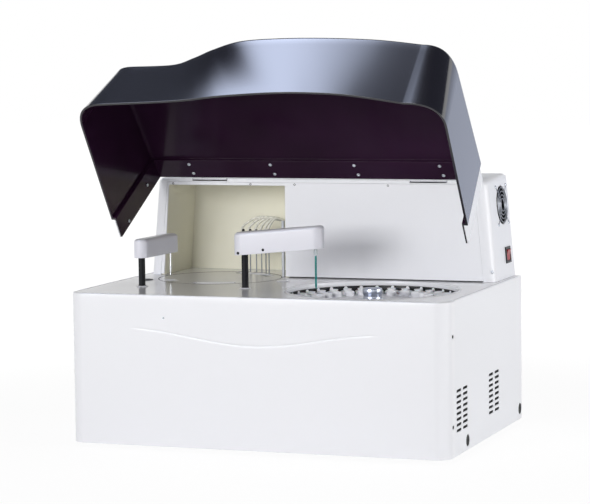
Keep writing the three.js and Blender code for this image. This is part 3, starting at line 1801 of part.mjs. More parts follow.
function switchStation() {
  return group(
    part("switch_bezel", switchBezel(), blackPlastic),
    part("rocker", rocker(), redPlastic),
  );
}

// The power supply's folded case, standing on the tray.
function powerSupply() {
  const [width, depth, height] = supplySize;
  const [x, y] = supplyPlace;
  const low = trayTop + fitGap;
  const across = [x - width / 2, x + width / 2];
  const body = block(across, [y - depth / 2, y + depth / 2], [low, low + height]);
  return part("power_supply", body, steel);
}

// The control board upright on two feet, with its largest chips.
function controlBoard() {
  const [width, sheet, height] = boardSize;
  const [x, y] = boardPlace;
  const low = trayTop + fitGap;
  const boardLow = low + boardFootHeight;
  const board = block([x - width / 2, x + width / 2], [y, y + sheet], [boardLow, boardLow + height]);
  const feet = [-1, 1].map((side) => {
    const centre = x + side * (width / 2 - boardFoot);
    return block(
      [centre - boardFoot / 2, centre + boardFoot / 2],
      [y - boardFoot / 2, y + boardFoot / 2],
      [low, boardLow + boardChipHeight],
    );
  });
  const chips = boardChipShares.map(([across, up, wide, tall]) => {
    return block(
      [x + (across - wide / 2) * width, x + (across + wide / 2) * width],
      [y - boardChipHeight, y + sheet / 2],
      [boardLow + (up - tall / 2) * height, boardLow + (up + tall / 2) * height],
    );
  });
  return part("control_board", join(board, ...feet, ...chips), greenBoard);
}

// The syringe's fixed part: motor, back plate and barrel, standing on the deck in the tower.
function syringeBlock() {
  const low = deckTop + fitGap;
  const half = syringeBase / 2;
  const motorTop = low + syringeMotorHeight;
  const barrelLow = motorTop + syringeBarrelFloor;
  const barrelTop = barrelLow + syringeBarrelLength;
  const base = block([-half, half], [-half, half], [low, motorTop]);
  const back = block([-half, half], [half - syringePlate, half], [motorTop - overrun, barrelTop]);
  const barrel = post(syringeBarrelRadius, barrelLow, barrelTop, smallSides);
  const shelf = block(
    [-syringeBarrelRadius, syringeBarrelRadius],
    [0, half - syringePlate + overrun],
    [barrelLow + syringePlate, barrelTop - syringePlate],
  );
  const bore = post(syringeBore, barrelLow - overrun, barrelTop - syringePlate, smallSides);
  const made = part("syringe_block", cut(join(base, back, barrel, shelf), bore), greyCast);
  made.position.set(syringeX, syringeY, 0);
  return made;
}

// The plunger at the top of its stroke.
function syringePlunger() {
  const motorTop = deckTop + fitGap + syringeMotorHeight;
  const barrelTop = motorTop + syringeBarrelFloor + syringeBarrelLength;
  const top = barrelTop - syringePlate - runGap;
  const headLow = top - syringeBarrelLength - runGap;
  const profile = [
    [0, headLow],
    [syringeBarrelRadius, headLow],
    [syringeBarrelRadius, headLow + syringeHeadHeight],
    [syringeRodRadius, headLow + syringeHeadHeight],
    [syringeRodRadius, top - syringePistonHeight],
    [syringeBore - runGap, top - syringePistonHeight],
    [syringeBore - runGap, top],
    [0, top],
  ];
  const made = part("syringe_plunger", turned(profile, smallSides), steel);
  made.position.set(syringeX, syringeY, 0);
  return made;
}

// The peristaltic wash pump: a housing with a round cup open to the front.
function washPump() {
  const low = deckTop + fitGap;
  const half = pumpSize / 2;
  const body = block([-half, half], [-pumpDepth / 2, pumpDepth / 2], [low, low + pumpSize]);
  const front = -pumpDepth / 2;
  const floor = pumpCupDepth - pumpDepth / 2;
  const cup = barY(pumpCupRadius, front - overrun, floor, roundSides, 0, low + half);
  const axle = barY(pumpBoss / 2, floor - pumpRotorDepth, floor + overrun, smallSides, 0, low + half);
  const made = part("wash_pump", join(cut(body, cup), axle), blackPlastic);
  made.position.set(pumpX, pumpY, 0);
  return made;
}

// The pump's rotor with its rollers.
function pumpRotor() {
  const back = pumpCupDepth - pumpDepth / 2 - fitGap;
  const front = back - pumpRotorDepth;
  const z = deckTop + fitGap + pumpSize / 2;
  const hub = barY(pumpRotorRadius, front, back, roundSides, 0, z);
  const rollers = Array.from({ length: pumpRollers }, (_, i) => {
    const [x, up] = polar(0, z, pumpRollerAt, (i * 360) / pumpRollers + 90);
    return barY(pumpRollerRadius, front, back, smallSides, x, up);
  });
  const bore = barY(pumpBoss / 2 + runGap, front - overrun, back + overrun, smallSides, 0, z);
  const made = part("pump_rotor", cut(join(hub, ...rollers), bore), steel);
  made.position.set(pumpX, pumpY, 0);
  return made;
}

function fluidics() {
  return group(syringeBlock(), syringePlunger(), washPump(), pumpRotor());
}

function cabinet() {
  const slots = [...ventSlots(ventFrontGroupY), ...ventSlots(ventRearGroupY)];
  return group(
    baseTray(),
    frontCover(),
    sidePanel("side_panel_right", 1, slots),
    sidePanel("side_panel_left", -1, []),
    rearPanel(),
    powerInlet(),
    deckPlate(),
    foot("foot_front_left", -1, -1),
    foot("foot_front_right", 1, -1),
    foot("foot_rear_left", -1, 1),
    foot("foot_rear_right", 1, 1),
    powerSupply(),
    controlBoard(),
  );
}

function tower() {
  return group(
    towerShell(),
    towerFrontPanel(),
    recessLiner(),
    hingeBracket("hinge_bracket_left", -1),
    hingeBracket("hinge_bracket_right", 1),
  );
}

export default group(
  cabinet(),
  tower(),
  lid(),
  reagentStation(),
  reactionStation(),
  probeStation(),
  mixerStation(),
  rinsePots(),
  washStation(),
  fanStation(),
  switchStation(),
  fluidics(),
);
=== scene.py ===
import json
import math

import bmesh
import bpy
import numpy as np
from mathutils import Matrix, Vector
from mathutils.geometry import tessellate_polygon

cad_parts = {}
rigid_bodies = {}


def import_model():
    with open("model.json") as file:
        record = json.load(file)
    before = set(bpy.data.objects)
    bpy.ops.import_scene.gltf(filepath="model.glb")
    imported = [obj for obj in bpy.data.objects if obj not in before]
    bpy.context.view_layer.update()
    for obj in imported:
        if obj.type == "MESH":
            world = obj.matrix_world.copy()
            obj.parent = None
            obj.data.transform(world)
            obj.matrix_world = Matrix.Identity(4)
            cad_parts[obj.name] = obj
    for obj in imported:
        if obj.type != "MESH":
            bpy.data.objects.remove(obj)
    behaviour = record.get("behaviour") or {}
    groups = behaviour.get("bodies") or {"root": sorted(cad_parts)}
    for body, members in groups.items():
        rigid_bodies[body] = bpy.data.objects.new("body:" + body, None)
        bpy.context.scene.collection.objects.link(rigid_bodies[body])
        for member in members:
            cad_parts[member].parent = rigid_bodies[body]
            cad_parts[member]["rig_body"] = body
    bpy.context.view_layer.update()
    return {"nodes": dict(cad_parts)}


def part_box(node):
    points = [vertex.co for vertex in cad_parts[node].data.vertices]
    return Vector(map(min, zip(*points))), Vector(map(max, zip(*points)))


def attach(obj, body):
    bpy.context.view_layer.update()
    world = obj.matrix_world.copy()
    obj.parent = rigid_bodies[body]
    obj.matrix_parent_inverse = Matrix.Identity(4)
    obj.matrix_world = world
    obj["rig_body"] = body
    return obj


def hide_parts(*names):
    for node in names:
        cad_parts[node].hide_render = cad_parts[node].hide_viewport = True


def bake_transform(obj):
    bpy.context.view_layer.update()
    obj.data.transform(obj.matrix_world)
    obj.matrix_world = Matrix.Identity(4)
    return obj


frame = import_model()
nodes = frame["nodes"]
mm = 0.001
print("frame loaded:", len(nodes), "nodes")


# Camera, found from the cabinet's straight edges

photoCamera = {
    "place": (1527.8, -4185.6, 740.3),
    "yaw": 20.163,
    "pitch": 5.101,
    "roll": -0.688,
    "focalPixels": 2400,
    "pictureWidth": 590,
    "sensor": 36,
    "clipEnd": 100,  # metres
}


def setCamera(values):
    # forward turns left by the yaw and down by the pitch; the roll turns the picture about it
    yaw, pitch, roll = (math.radians(values[key]) for key in ("yaw", "pitch", "roll"))
    level = Vector((-math.sin(yaw), math.cos(yaw), 0))
    forward = level * math.cos(pitch) - Vector((0, 0, math.sin(pitch)))
    right = Vector((math.cos(yaw), math.sin(yaw), 0))
    up = right.cross(forward)
    across = right * math.cos(roll) + up * math.sin(roll)
    above = up * math.cos(roll) - right * math.sin(roll)
    lens = bpy.data.cameras.new("photo_camera")
    lens.sensor_width = values["sensor"]
    lens.lens = values["sensor"] * values["focalPixels"] / values["pictureWidth"]
    lens.clip_end = values["clipEnd"]
    camera = bpy.data.objects.new("photo_camera", lens)
    bpy.context.scene.collection.objects.link(camera)
    turned = Matrix((across, above, -forward)).transposed().to_4x4()
    camera.matrix_world = Matrix.Translation(Vector(values["place"]) * mm) @ turned
    bpy.context.scene.camera = camera


setCamera(photoCamera)
print("camera set")


# Finishes

surfaceValues = {
    "patchDetail": 3.0,
    "grainDetail": 2.0,
    "patchRange": (0.3, 0.7),  # the part of the noise over which the roughness drifts
    "bumpStrength": 0.6,
}


def linearColour(hexColour):
    # an sRGB hex value as the linear colour that a shader takes
    channels = np.array([int(hexColour[i:i + 2], 16) for i in (1, 3, 5)]) / 255
    linear = np.where(channels <= 0.04045, channels / 12.92, ((channels + 0.055) / 1.055) ** 2.4)
    return (*linear.tolist(), 1.0)


def addNode(tree, kind, sockets=None, **settings):
    # one node with its settings, and a value or a link for each socket named
    node = tree.nodes.new(kind)
    for name, value in settings.items():
        setattr(node, name, value)
    for name, value in (sockets or {}).items():
        if isinstance(value, bpy.types.NodeSocket):
            tree.links.new(value, node.inputs[name])
        else:
            node.inputs[name].default_value = value
    return node


def newSurface(name):
    made = bpy.data.materials.new(name)
    made.use_nodes = True
    made.node_tree.nodes.clear()
    return made, made.node_tree


def noise(tree, place, size, detail):
    # soft patches of about one size
    values = {"Vector": place, "Scale": 1 / (size * mm), "Detail": detail}
    return addNode(tree, "ShaderNodeTexNoise", values).outputs["Fac"]


def mixColours(tree, share, first, second):
    values = {"Factor": share, "A": first, "B": second}
    return addNode(tree, "ShaderNodeMix", values, data_type="RGBA").outputs["Result"]


def mapRange(tree, value, low, high, fromLow=0.0, fromHigh=1.0, **settings):
    values = {"Value": value, "From Min": fromLow, "From Max": fromHigh, "To Min": low, "To Max": high}
    return addNode(tree, "ShaderNodeMapRange", values, **settings).outputs["Result"]


def calculate(tree, operation, *values):
    return addNode(tree, "ShaderNodeMath", dict(enumerate(values)), operation=operation).outputs[0]


def bumpFrom(tree, height, strength, distance):
    values = {"Height": height, "Strength": strength, "Distance": distance * mm}
    return addNode(tree, "ShaderNodeBump", values).outputs["Normal"]


def principled(tree, colour, roughness, normal, others):
    values = {"Base Color": colour, "Roughness": roughness, "Normal": normal, **others}
    shader = addNode(tree, "ShaderNodeBsdfPrincipled", values)
    addNode(tree, "ShaderNodeOutputMaterial", {"Surface": shader.outputs["BSDF"]})


def finish(name, light, dark, mottle, roughness, grain, relief, stretch=(1, 1, 1), **others):
    # a surface of two close colours in soft patches, a roughness that drifts, and a fine relief;
    # mottle and grain are the sizes of a patch and of a grain, relief is the height of the grain
    made, tree = newSurface(name)
    place = addNode(tree, "ShaderNodeTexCoord").outputs["Object"]
    drawn = addNode(tree, "ShaderNodeMapping", {"Vector": place, "Scale": stretch}).outputs["Vector"]
    patches = noise(tree, place, mottle, surfaceValues["patchDetail"])
    grains = noise(tree, drawn, grain, surfaceValues["grainDetail"])
    principled(
        tree, mixColours(tree, patches, linearColour(dark), linearColour(light)),
        mapRange(tree, patches, *roughness, *surfaceValues["patchRange"]),
        bumpFrom(tree, grains, surfaceValues["bumpStrength"], relief), others)
    return made


# polyester powder coat on steel sheet, sprayed and baked: a faint orange peel keeps its shine soft
powderCoat = finish(
    "powder_coat_white", "#f1f2f6", "#eeeff4", 420, (0.3, 0.36), 2.4, 0.012, IOR=1.5)
# the same coat, rubbed down and polished on the deck: the arms and columns mirror in it
deckCoat = finish(
    "polished_coat_white", "#f1f1f5", "#eeeef2", 300, (0.16, 0.2), 8, 0.006, IOR=1.45)
# ABS, injection moulded in a polished tool: smooth, half glossy, cool white
mouldedAbs = finish(
    "moulded_abs_white", "#f3f3f7", "#f0f1f5", 900, (0.3, 0.32), 5, 0.006, IOR=1.53)
# the same resin in a thicker, slower moulding for the arms: a shade greyer, with a touch of lilac
armAbs = finish(
    "moulded_abs_pale", "#e5e5ed", "#e1e1ea", 200, (0.28, 0.32), 4, 0.006, IOR=1.5)
# acrylic enamel over a zinc primer, brushed by hand in the bay: warmer, with a dry satin face
creamEnamel = finish(
    "cream_enamel", "#f8f6e8", "#efecd8", 90, (0.5, 0.6), 1.5, 0.02, IOR=1.5)
# ABS, moulded in a spark-eroded tool: a fine even grain that scatters its highlights
grainedBlack = finish(
    "grained_abs_black", "#1d1d20", "#141416", 25, (0.38, 0.5), 0.7, 0.03, IOR=1.53)
# hard black anodised aluminium, turned: a satin face with a soft long highlight
blackAnodised = finish(
    "black_anodised_aluminium", "#121317", "#0b0c0f", 14, (0.42, 0.54), 0.5, 0.008,
    stretch=(0.05, 0.05, 1), IOR=1.42, **{"Specular IOR Level": 0.25})
# nitrile rubber, moulded: dead matt with pale dust in its pores
nitrileRubber = finish(
    "nitrile_rubber", "#252526", "#171718", 9, (0.75, 0.9), 0.5, 0.04, IOR=1.5)
# austenitic stainless steel sheet, brushed along X: long streaks, bright across them
brushedSteel = finish(
    "brushed_stainless", "#c9ccd2", "#b4b8bf", 40, (0.26, 0.36), 0.35, 0.006,
    stretch=(0.03, 1, 1), Metallic=1.0)
# chromium plate over nickel on steel wire: bright, with a thin blue cast
chromePlate = finish(
    "chromium_plate", "#dfe2e8", "#cfd3db", 30, (0.08, 0.14), 3, 0.003, Metallic=1.0)
# zinc plate on drawn wire, passivated: duller and darker than chromium
dullZinc = finish(
    "passivated_zinc", "#b2b5bd", "#9a9da6", 9, (0.34, 0.44), 0.8, 0.01, Metallic=1.0)
# die-cast aluminium, bead blasted: pale grey and soft
blastedCasting = finish(
    "blasted_aluminium", "#a3a7ad", "#8f9399", 18, (0.5, 0.62), 0.5, 0.025,
    Metallic=0.8)
# high-density polyethylene, blow moulded: waxy white that lets a little light in
blownPolyethylene = finish(
    "blown_polyethylene", "#f3f4f6", "#e6e8ec", 16, (0.32, 0.42), 1.2, 0.015,
    IOR=1.54, **{"Subsurface Weight": 0.12, "Subsurface Scale": 0.003})
# polymethyl pentene, moulded: clear with a cold cast, so its edges read more than its faces
clearPentene = finish(
    "clear_pentene", "#e9f0f3", "#dfe8ee", 10, (0.06, 0.12), 2, 0.004,
    IOR=1.46, **{"Transmission Weight": 0.55})
# fluoropolymer tube, extruded: milky, greased-looking, with soft ends to its highlights
milkyTube = finish(
    "extruded_fluoropolymer", "#f6f5ec", "#e9e7da", 6, (0.22, 0.34), 1.5, 0.006,
    IOR=1.38, **{"Transmission Weight": 0.12})
# cured fluoropolymer coat on a steel needle, dipped: deep teal with an even satin skin
tealCoat = finish(
    "dipped_teal_coat", "#1f8f8c", "#157372", 6, (0.26, 0.36), 0.5, 0.006, IOR=1.4)
# polycarbonate, moulded and polished: saturated red with a hard shine
redPolycarbonate = finish(
    "polished_polycarbonate_red", "#a8121f", "#8c0e1a", 12, (0.3, 0.36), 1.5, 0.004,
    IOR=1.35)
# epoxy glass laminate under green solder resist
solderResist = finish(
    "solder_resist_green", "#246b43", "#174a2e", 7, (0.28, 0.4), 0.8, 0.02, IOR=1.52)
# free-cutting brass, hobbed: warm, with fine cutter marks across the teeth
hobbedBrass = finish(
    "hobbed_brass", "#c2a15b", "#a68545", 12, (0.24, 0.34), 0.4, 0.01,
    stretch=(1, 1, 0.1), Metallic=1.0)
# open-cell foam behind the louvres, dyed black: it only shows as depth
filterFoam = finish(
    "filter_foam_black", "#0e0e10", "#050506", 3, (0.85, 0.95), 1.2, 0.5, IOR=1.45)


lidFinish = {
    "dark": "#1b0d1a",
    "light": "#3a1f3a",
    "outside": "#1b1a22",
    "cloud": 200,
    "cloudDetail": 2.0,
    "sag": 180,
    "sagDetail": 1.0,
    "sagStrength": 0.5,
    "sagDepth": 0.2,
    "roughness": (0.1, 0.16),
    "ior": 1.49,
    "bareGloss": 0.12,
    "coat": 1.0,
    "coatRoughness": 0.12,
    "middle": (0, -60, 530),
}


def smokedAcrylic(values):
    # poly(methyl methacrylate), cast with a violet-brown dye and vacuum formed: nearly black, with a
    # hard lacquer outside that mirrors the room; inside it is bare and mirrors little, and its wine colour,
    # lighter in soft patches, is painted light that stands for the room shining through the dyed sheet.
    # A face is outside where its normal points away from the middle of the lid's hollow.
    made, tree = newSurface("formed_acrylic_smoked")
    coordinates = addNode(tree, "ShaderNodeTexCoord").outputs
    place = coordinates["Object"]
    middle = tuple(value * mm for value in values["middle"])
    fromMiddle = addNode(tree, "ShaderNodeVectorMath", {0: place, 1: middle}, operation="SUBTRACT")
    facing = addNode(
        tree, "ShaderNodeVectorMath", {0: fromMiddle.outputs[0], 1: coordinates["Normal"]},
        operation="DOT_PRODUCT").outputs["Value"]
    outside = calculate(tree, "GREATER_THAN", facing, 0.0)
    clouds = noise(tree, place, values["cloud"], values["cloudDetail"])
    # painted light: the inside's wine colour, lighter in patches, stands for room light coming through the
    # sheet
    inner = mixColours(tree, clouds, linearColour(values["dark"]), linearColour(values["light"]))
    sag = noise(tree, place, values["sag"], values["sagDetail"])
    principled(
        tree, mixColours(tree, outside, inner, linearColour(values["outside"])),
        mapRange(tree, clouds, *values["roughness"]),
        bumpFrom(tree, sag, values["sagStrength"], values["sagDepth"]),
        {"IOR": values["ior"], "Specular IOR Level": values["bareGloss"],
         "Coat Weight": calculate(tree, "MULTIPLY", outside, values["coat"]),
         "Coat Roughness": values["coatRoughness"]})
    return made


smoked = smokedAcrylic(lidFinish)

nodeFinishes = (
    (brushedSteel, "base_tray power_supply probe_frame mixer_frame syringe_plunger"),
    (grainedBlack, "disc_motor reaction_motor photometer wash_pump"),
    (blastedCasting,
     "reaction_stand incubator_trough probe_carriage mixer_carriage syringe_block pump_rotor"),
    (hobbedBrass, "reaction_gear reaction_pinion"),
    (solderResist, "control_board"),
)
for nodeFinish, nodeNames in nodeFinishes:
    for nodeName in nodeNames.split():
        held = nodes[nodeName].data.materials
        held.clear()
        held.append(nodeFinish)
print("finishes made:", len(bpy.data.materials))


# Making pieces

shaping = {
    "weld": 0.01,  # points closer than this are one
    "flatSeam": 1.0,  # degrees under which two faces are one flat
    "sharp": 35,  # degrees over which an edge is hard
    "square": 0.9999,  # share of a normal along an axis over which its face is square to it
}


def nodeBox(name):
    # a node's lowest and highest corner in millimetres
    low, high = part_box(name)
    return np.array(low) / mm, np.array(high) / mm


def gridFaces(rows, columns, closeRows=False, closeColumns=False, first=0):
    # four-sided faces between neighbours of a grid whose points are numbered row by row
    i, j = np.meshgrid(
        np.arange(rows if closeRows else rows - 1),
        np.arange(columns if closeColumns else columns - 1), indexing="ij")
    nextI, nextJ = (i + 1) % rows, (j + 1) % columns
    corners = (i * columns + j, i * columns + nextJ, nextI * columns + nextJ, nextI * columns + j)
    return (np.stack(corners, axis=-1).reshape(-1, 4) + first).tolist()


def finishPiece(mesh, material, slotName, body, replaced=(), bevel=0.0, segments=2, sharp=None,
                flatAxis=None):
    # welds the mesh, turns its faces outwards, smooths it between hard edges and lets it ride, if it
    # has a body; faces square to the flat axis stay flat, so that long thin ones among them shade evenly
    shape = bmesh.new()
    shape.from_mesh(mesh)
    bmesh.ops.remove_doubles(shape, verts=shape.verts, dist=shaping["weld"] * mm)
    bmesh.ops.recalc_face_normals(shape, faces=shape.faces)
    shape.to_mesh(mesh)
    shape.free()
    mesh.shade_smooth()
    mesh.set_sharp_from_angle(angle=math.radians(sharp or shaping["sharp"]))
    if flatAxis is not None:
        for face in mesh.polygons:
            face.use_smooth = abs(face.normal[flatAxis]) < shaping["square"]
    mesh.materials.clear()
    mesh.materials.append(material)
    piece = bpy.data.objects.new(mesh.name, mesh)
    bpy.context.scene.collection.objects.link(piece)
    if bevel:
        rounding = piece.modifiers.new("rounded_edges", "BEVEL")
        rounding.width = bevel * mm
        rounding.segments = segments
        rounding.limit_method = "ANGLE"
        rounding.angle_limit = math.radians(shaping["sharp"])
        rounding.harden_normals = True
    if body:
        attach(piece, body)
    if replaced:
        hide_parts(*replaced)
    return piece


def addPiece(name, points, faces, material, slotName, body, replaced=(), **finishing):
    mesh = bpy.data.meshes.new(name)
    mesh.from_pydata((np.asarray(points, float).reshape(-1, 3) * mm).tolist(), [], faces)
    return finishPiece(mesh, material, slotName, body, replaced, **finishing)


def joined(*shapes):
    # several (points, faces) as one
    points, faces, first = [], [], 0
    for shapePoints, shapeFaces in shapes:
        flat = np.asarray(shapePoints, float).reshape(-1, 3)
        points.append(flat)
        faces.extend([[index + first for index in face] for face in shapeFaces])
        first += len(flat)
    return np.concatenate(points), faces


def softened(name, material, slotName, source, bevel):
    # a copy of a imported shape, welded and rid of its flat seams so that its edges can be rounded
    shape = bmesh.new()
    shape.from_mesh(nodes[source].data)
    bmesh.ops.remove_doubles(shape, verts=shape.verts, dist=shaping["weld"] * mm)
    bmesh.ops.dissolve_limit(
        shape, angle_limit=math.radians(shaping["flatSeam"]), verts=shape.verts, edges=shape.edges)
    mesh = bpy.data.meshes.new(name)
    shape.to_mesh(mesh)
    shape.free()
    finishPiece(mesh, material, slotName, nodes[source]["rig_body"], [source], bevel=bevel)


def circle(centre, radius, steps):
    angles = np.linspace(0, 2 * math.pi, steps, endpoint=False)
    return np.stack((centre[0] + radius * np.cos(angles), centre[1] + radius * np.sin(angles)), axis=-1)


def arc(centre, radius, start, end, steps):
    angles = np.radians(np.linspace(start, end, steps + 1))
    return np.stack((centre[0] + radius * np.cos(angles), centre[1] + radius * np.sin(angles)), axis=-1)


def roundedPlate(loopsAt, low, high, edge, steps=4):
    # a flat sheet between an outline and its holes, whose upper edges are quarter rounds: at an
    # angle a the loops are drawn in by edge (1 - cos a), at the level high - edge (1 - sin a)
    turns = np.linspace(0, math.pi / 2, steps + 1)
    drawnIn = [0, *(edge * (1 - np.cos(turns)))]
    levels = [low, *(high - edge * (1 - np.sin(turns)))]
    rows, triangles = [], []
    for inset, level in zip(drawnIn, levels):
        loops = [np.asarray(loop, float) for loop in loopsAt(inset)]
        flat = np.concatenate(loops)
        rows.append(np.column_stack((flat, np.full(len(flat), level))))
        if level in (levels[0], levels[-1]):
            flatLoops = [[Vector((*point, 0)) for point in loop] for loop in loops]
            triangles.append(tessellate_polygon(flatLoops))
    count = len(rows[0])
    last = (len(rows) - 1) * count
    faces = [list(triangle) for triangle in triangles[0]]
    faces += [[index + last for index in triangle] for triangle in triangles[-1]]
    first = 0
    for loop in loops:
        here = np.arange(len(loop)) + first
        there = np.roll(here, -1)
        for row in range(len(rows) - 1):
            base = row * count
            faces += (np.stack((here, there, there + count, here + count), axis=-1) + base).tolist()
        first += len(loop)
    return np.concatenate(rows), faces


def lathe(profile, steps, centre=(0, 0), closed=False):
    # the profile of (radius, height) turned round an upright axis: x = r cos a, y = r sin a
    radius, height = np.asarray(profile, float).T[:, :, None]
    angles = np.linspace(0, 2 * math.pi, steps, endpoint=False)[None, :]
    x = centre[0] + radius * np.cos(angles)
    y = centre[1] + radius * np.sin(angles)
    points = np.stack((x, y, np.broadcast_to(height, x.shape)), axis=-1)
    return points.reshape(-1, 3), gridFaces(len(profile), steps, closeRows=closed, closeColumns=True)


def turnedPiece(name, profile, steps, centre, *saying, closed=False, **finishing):
    # a turned shape, with the material, slot, body and replaced nodes that addPiece takes; the slot is not
    # used
    addPiece(name, *lathe(profile, steps, centre, closed), *saying, **finishing)


def offsetsFrom(radius, height, offsets):
    # points of a profile, given as offsets from one of its corners
    return [(radius + across, height + up) for across, up in offsets]


def closedSheets(front, back):
    # two grids of one size as a closed skin, with a wall between their borders
    rows, columns = front.shape[:2]
    size = rows * columns
    index = np.arange(size).reshape(rows, columns)
    border = np.concatenate((index[0], index[1:, -1], index[-1, -2::-1], index[-2:0:-1, 0]))
    after = np.roll(border, -1)
    walls = np.stack((border, after, after + size, border + size), axis=-1).tolist()
    points = np.concatenate((front.reshape(-1, 3), back.reshape(-1, 3)))
    return points, gridFaces(rows, columns) + gridFaces(rows, columns, first=size) + walls


def tube(path, radius, sides, upward):
    # circles across a path, with both ends closed: each lies on two directions square to the path,
    # the first of them square to one fixed direction too
    path = np.asarray(path, float)
    along = np.gradient(path, axis=0)
    along /= np.linalg.norm(along, axis=1)[:, None]
    aside = np.cross(along, np.asarray(upward, float))
    aside /= np.linalg.norm(aside, axis=1)[:, None]
    above = np.cross(aside, along)
    angles = np.linspace(0, 2 * math.pi, sides, endpoint=False)[None, :, None]
    rings = path[:, None] + radius * (aside[:, None] * np.cos(angles) + above[:, None] * np.sin(angles))
    count = len(path) * sides
    ends = [list(range(sides)), list(range(count - sides, count))]
    return rings.reshape(-1, 3), gridFaces(len(path), sides, closeColumns=True) + ends


def smoothStep(values, low, high):
    share = np.clip((np.asarray(values, float) - low) / (high - low), 0, 1)
    return share * share * (3 - 2 * share)


def placed(points, origin, axis):
    # points drawn about the upright axis, turned so that +Z lies along an axis, and moved
    turn = Vector((0, 0, 1)).rotation_difference(Vector(axis)).to_matrix()
    return np.asarray(points, float).reshape(-1, 3) @ np.array(turn).T + np.asarray(origin, float)


screwShape = {
    "sides": 20,
    "domeShare": 0.42,
    "domeSteps": 6,
    "flatShare": 1.15,  # radius of the flat, of the socket's
    "socketShare": 0.5,
    "socketDepthShare": 0.3,
    "socketSides": 6,
}


def screwHead(origin, axis, radius):
    # a button head: a quarter ellipse from its rim to its flat, and a six-sided socket sunk in it
    rise = screwShape["domeShare"] * radius
    floor = rise - screwShape["socketDepthShare"] * radius
    socket = screwShape["socketShare"] * radius
    flat = socket * screwShape["flatShare"]
    dome = np.linspace(0, math.pi / 2, screwShape["domeSteps"] + 1)
    profile = np.column_stack((flat + (radius - flat) * np.cos(dome), rise * np.sin(dome)))
    sides, corners = screwShape["sides"], screwShape["socketSides"]
    head = lathe([(0, 0), (radius, 0), *profile], sides)[0].reshape(-1, sides, 3)
    nearest = np.round(np.arange(sides) * corners / sides).astype(int) % corners
    hexagon = circle((0, 0), socket, corners)[nearest]
    rim = np.column_stack((hexagon, np.full(sides, rise)))
    sunk = np.column_stack((hexagon, np.full(sides, floor)))
    middle = np.tile((0, 0, floor), (sides, 1))
    points = np.concatenate((head, rim[None], sunk[None], middle[None]))
    return placed(points, origin, axis), gridFaces(len(points), sides, closeColumns=True)


def screws(name, material, body, places, radius):
    # button-head screws at (point, direction)
    heads = [screwHead(origin, axis, radius) for origin, axis in places]
    addPiece(name, *joined(*heads), material, "steel", body)


# Cabinet

deckLow, deckHigh = nodeBox("deck_plate")
coverLow, coverHigh = nodeBox("front_cover")
deckTop = deckHigh[2]
halfWidth = nodeBox("side_panel_right")[1][0]
halfDepth = -coverLow[1]
cabinetFoot = coverLow[2]

frontCover = {
    "corner": 28,
    "wall": 3,
    "topRadius": 2.7,
    "topSteps": 6,
    "cornerSteps": 18,
    "faceSteps": 150,
    "creaseLow": 196,
    "creaseRise": 26,
    "creaseReach": 245,
    "creaseFade": 60,
    "creaseDepth": 0.8,
    "creaseWidth": 1.5,
    "creaseBand": 6,
    "creaseRows": 26,
    "sideScrews": ((-216, 221), (-216, 62)),
    "sideScrewRadius": 3.4,
    "screwDimple": (4.2, 1.5),
    "screwColumns": (10, 18),  # how far behind the corner the closer columns go, and their steps
    "indicator": (-172, 241.5),
    "indicatorRadius": 1.8,
    "indicatorDimple": (2.7, 0.9),
    "indicatorColumns": (5, 4, 16),  # half the gap in the even columns, half its fill, the fill's steps
    "dimpleEdge": 0.3,
    # even steps, then the shares of the height between which closer rows lie, and their steps
    "rowsBelow": (15, 0.233, 0.286, 18),
    "rowsAbove": (7, 0.26, 0.39, 14),
}


def closerRows(steps, start, end, closeSteps):
    return np.union1d(np.linspace(0, 1, steps + 1), np.linspace(start, end, closeSteps + 1))[:, None]


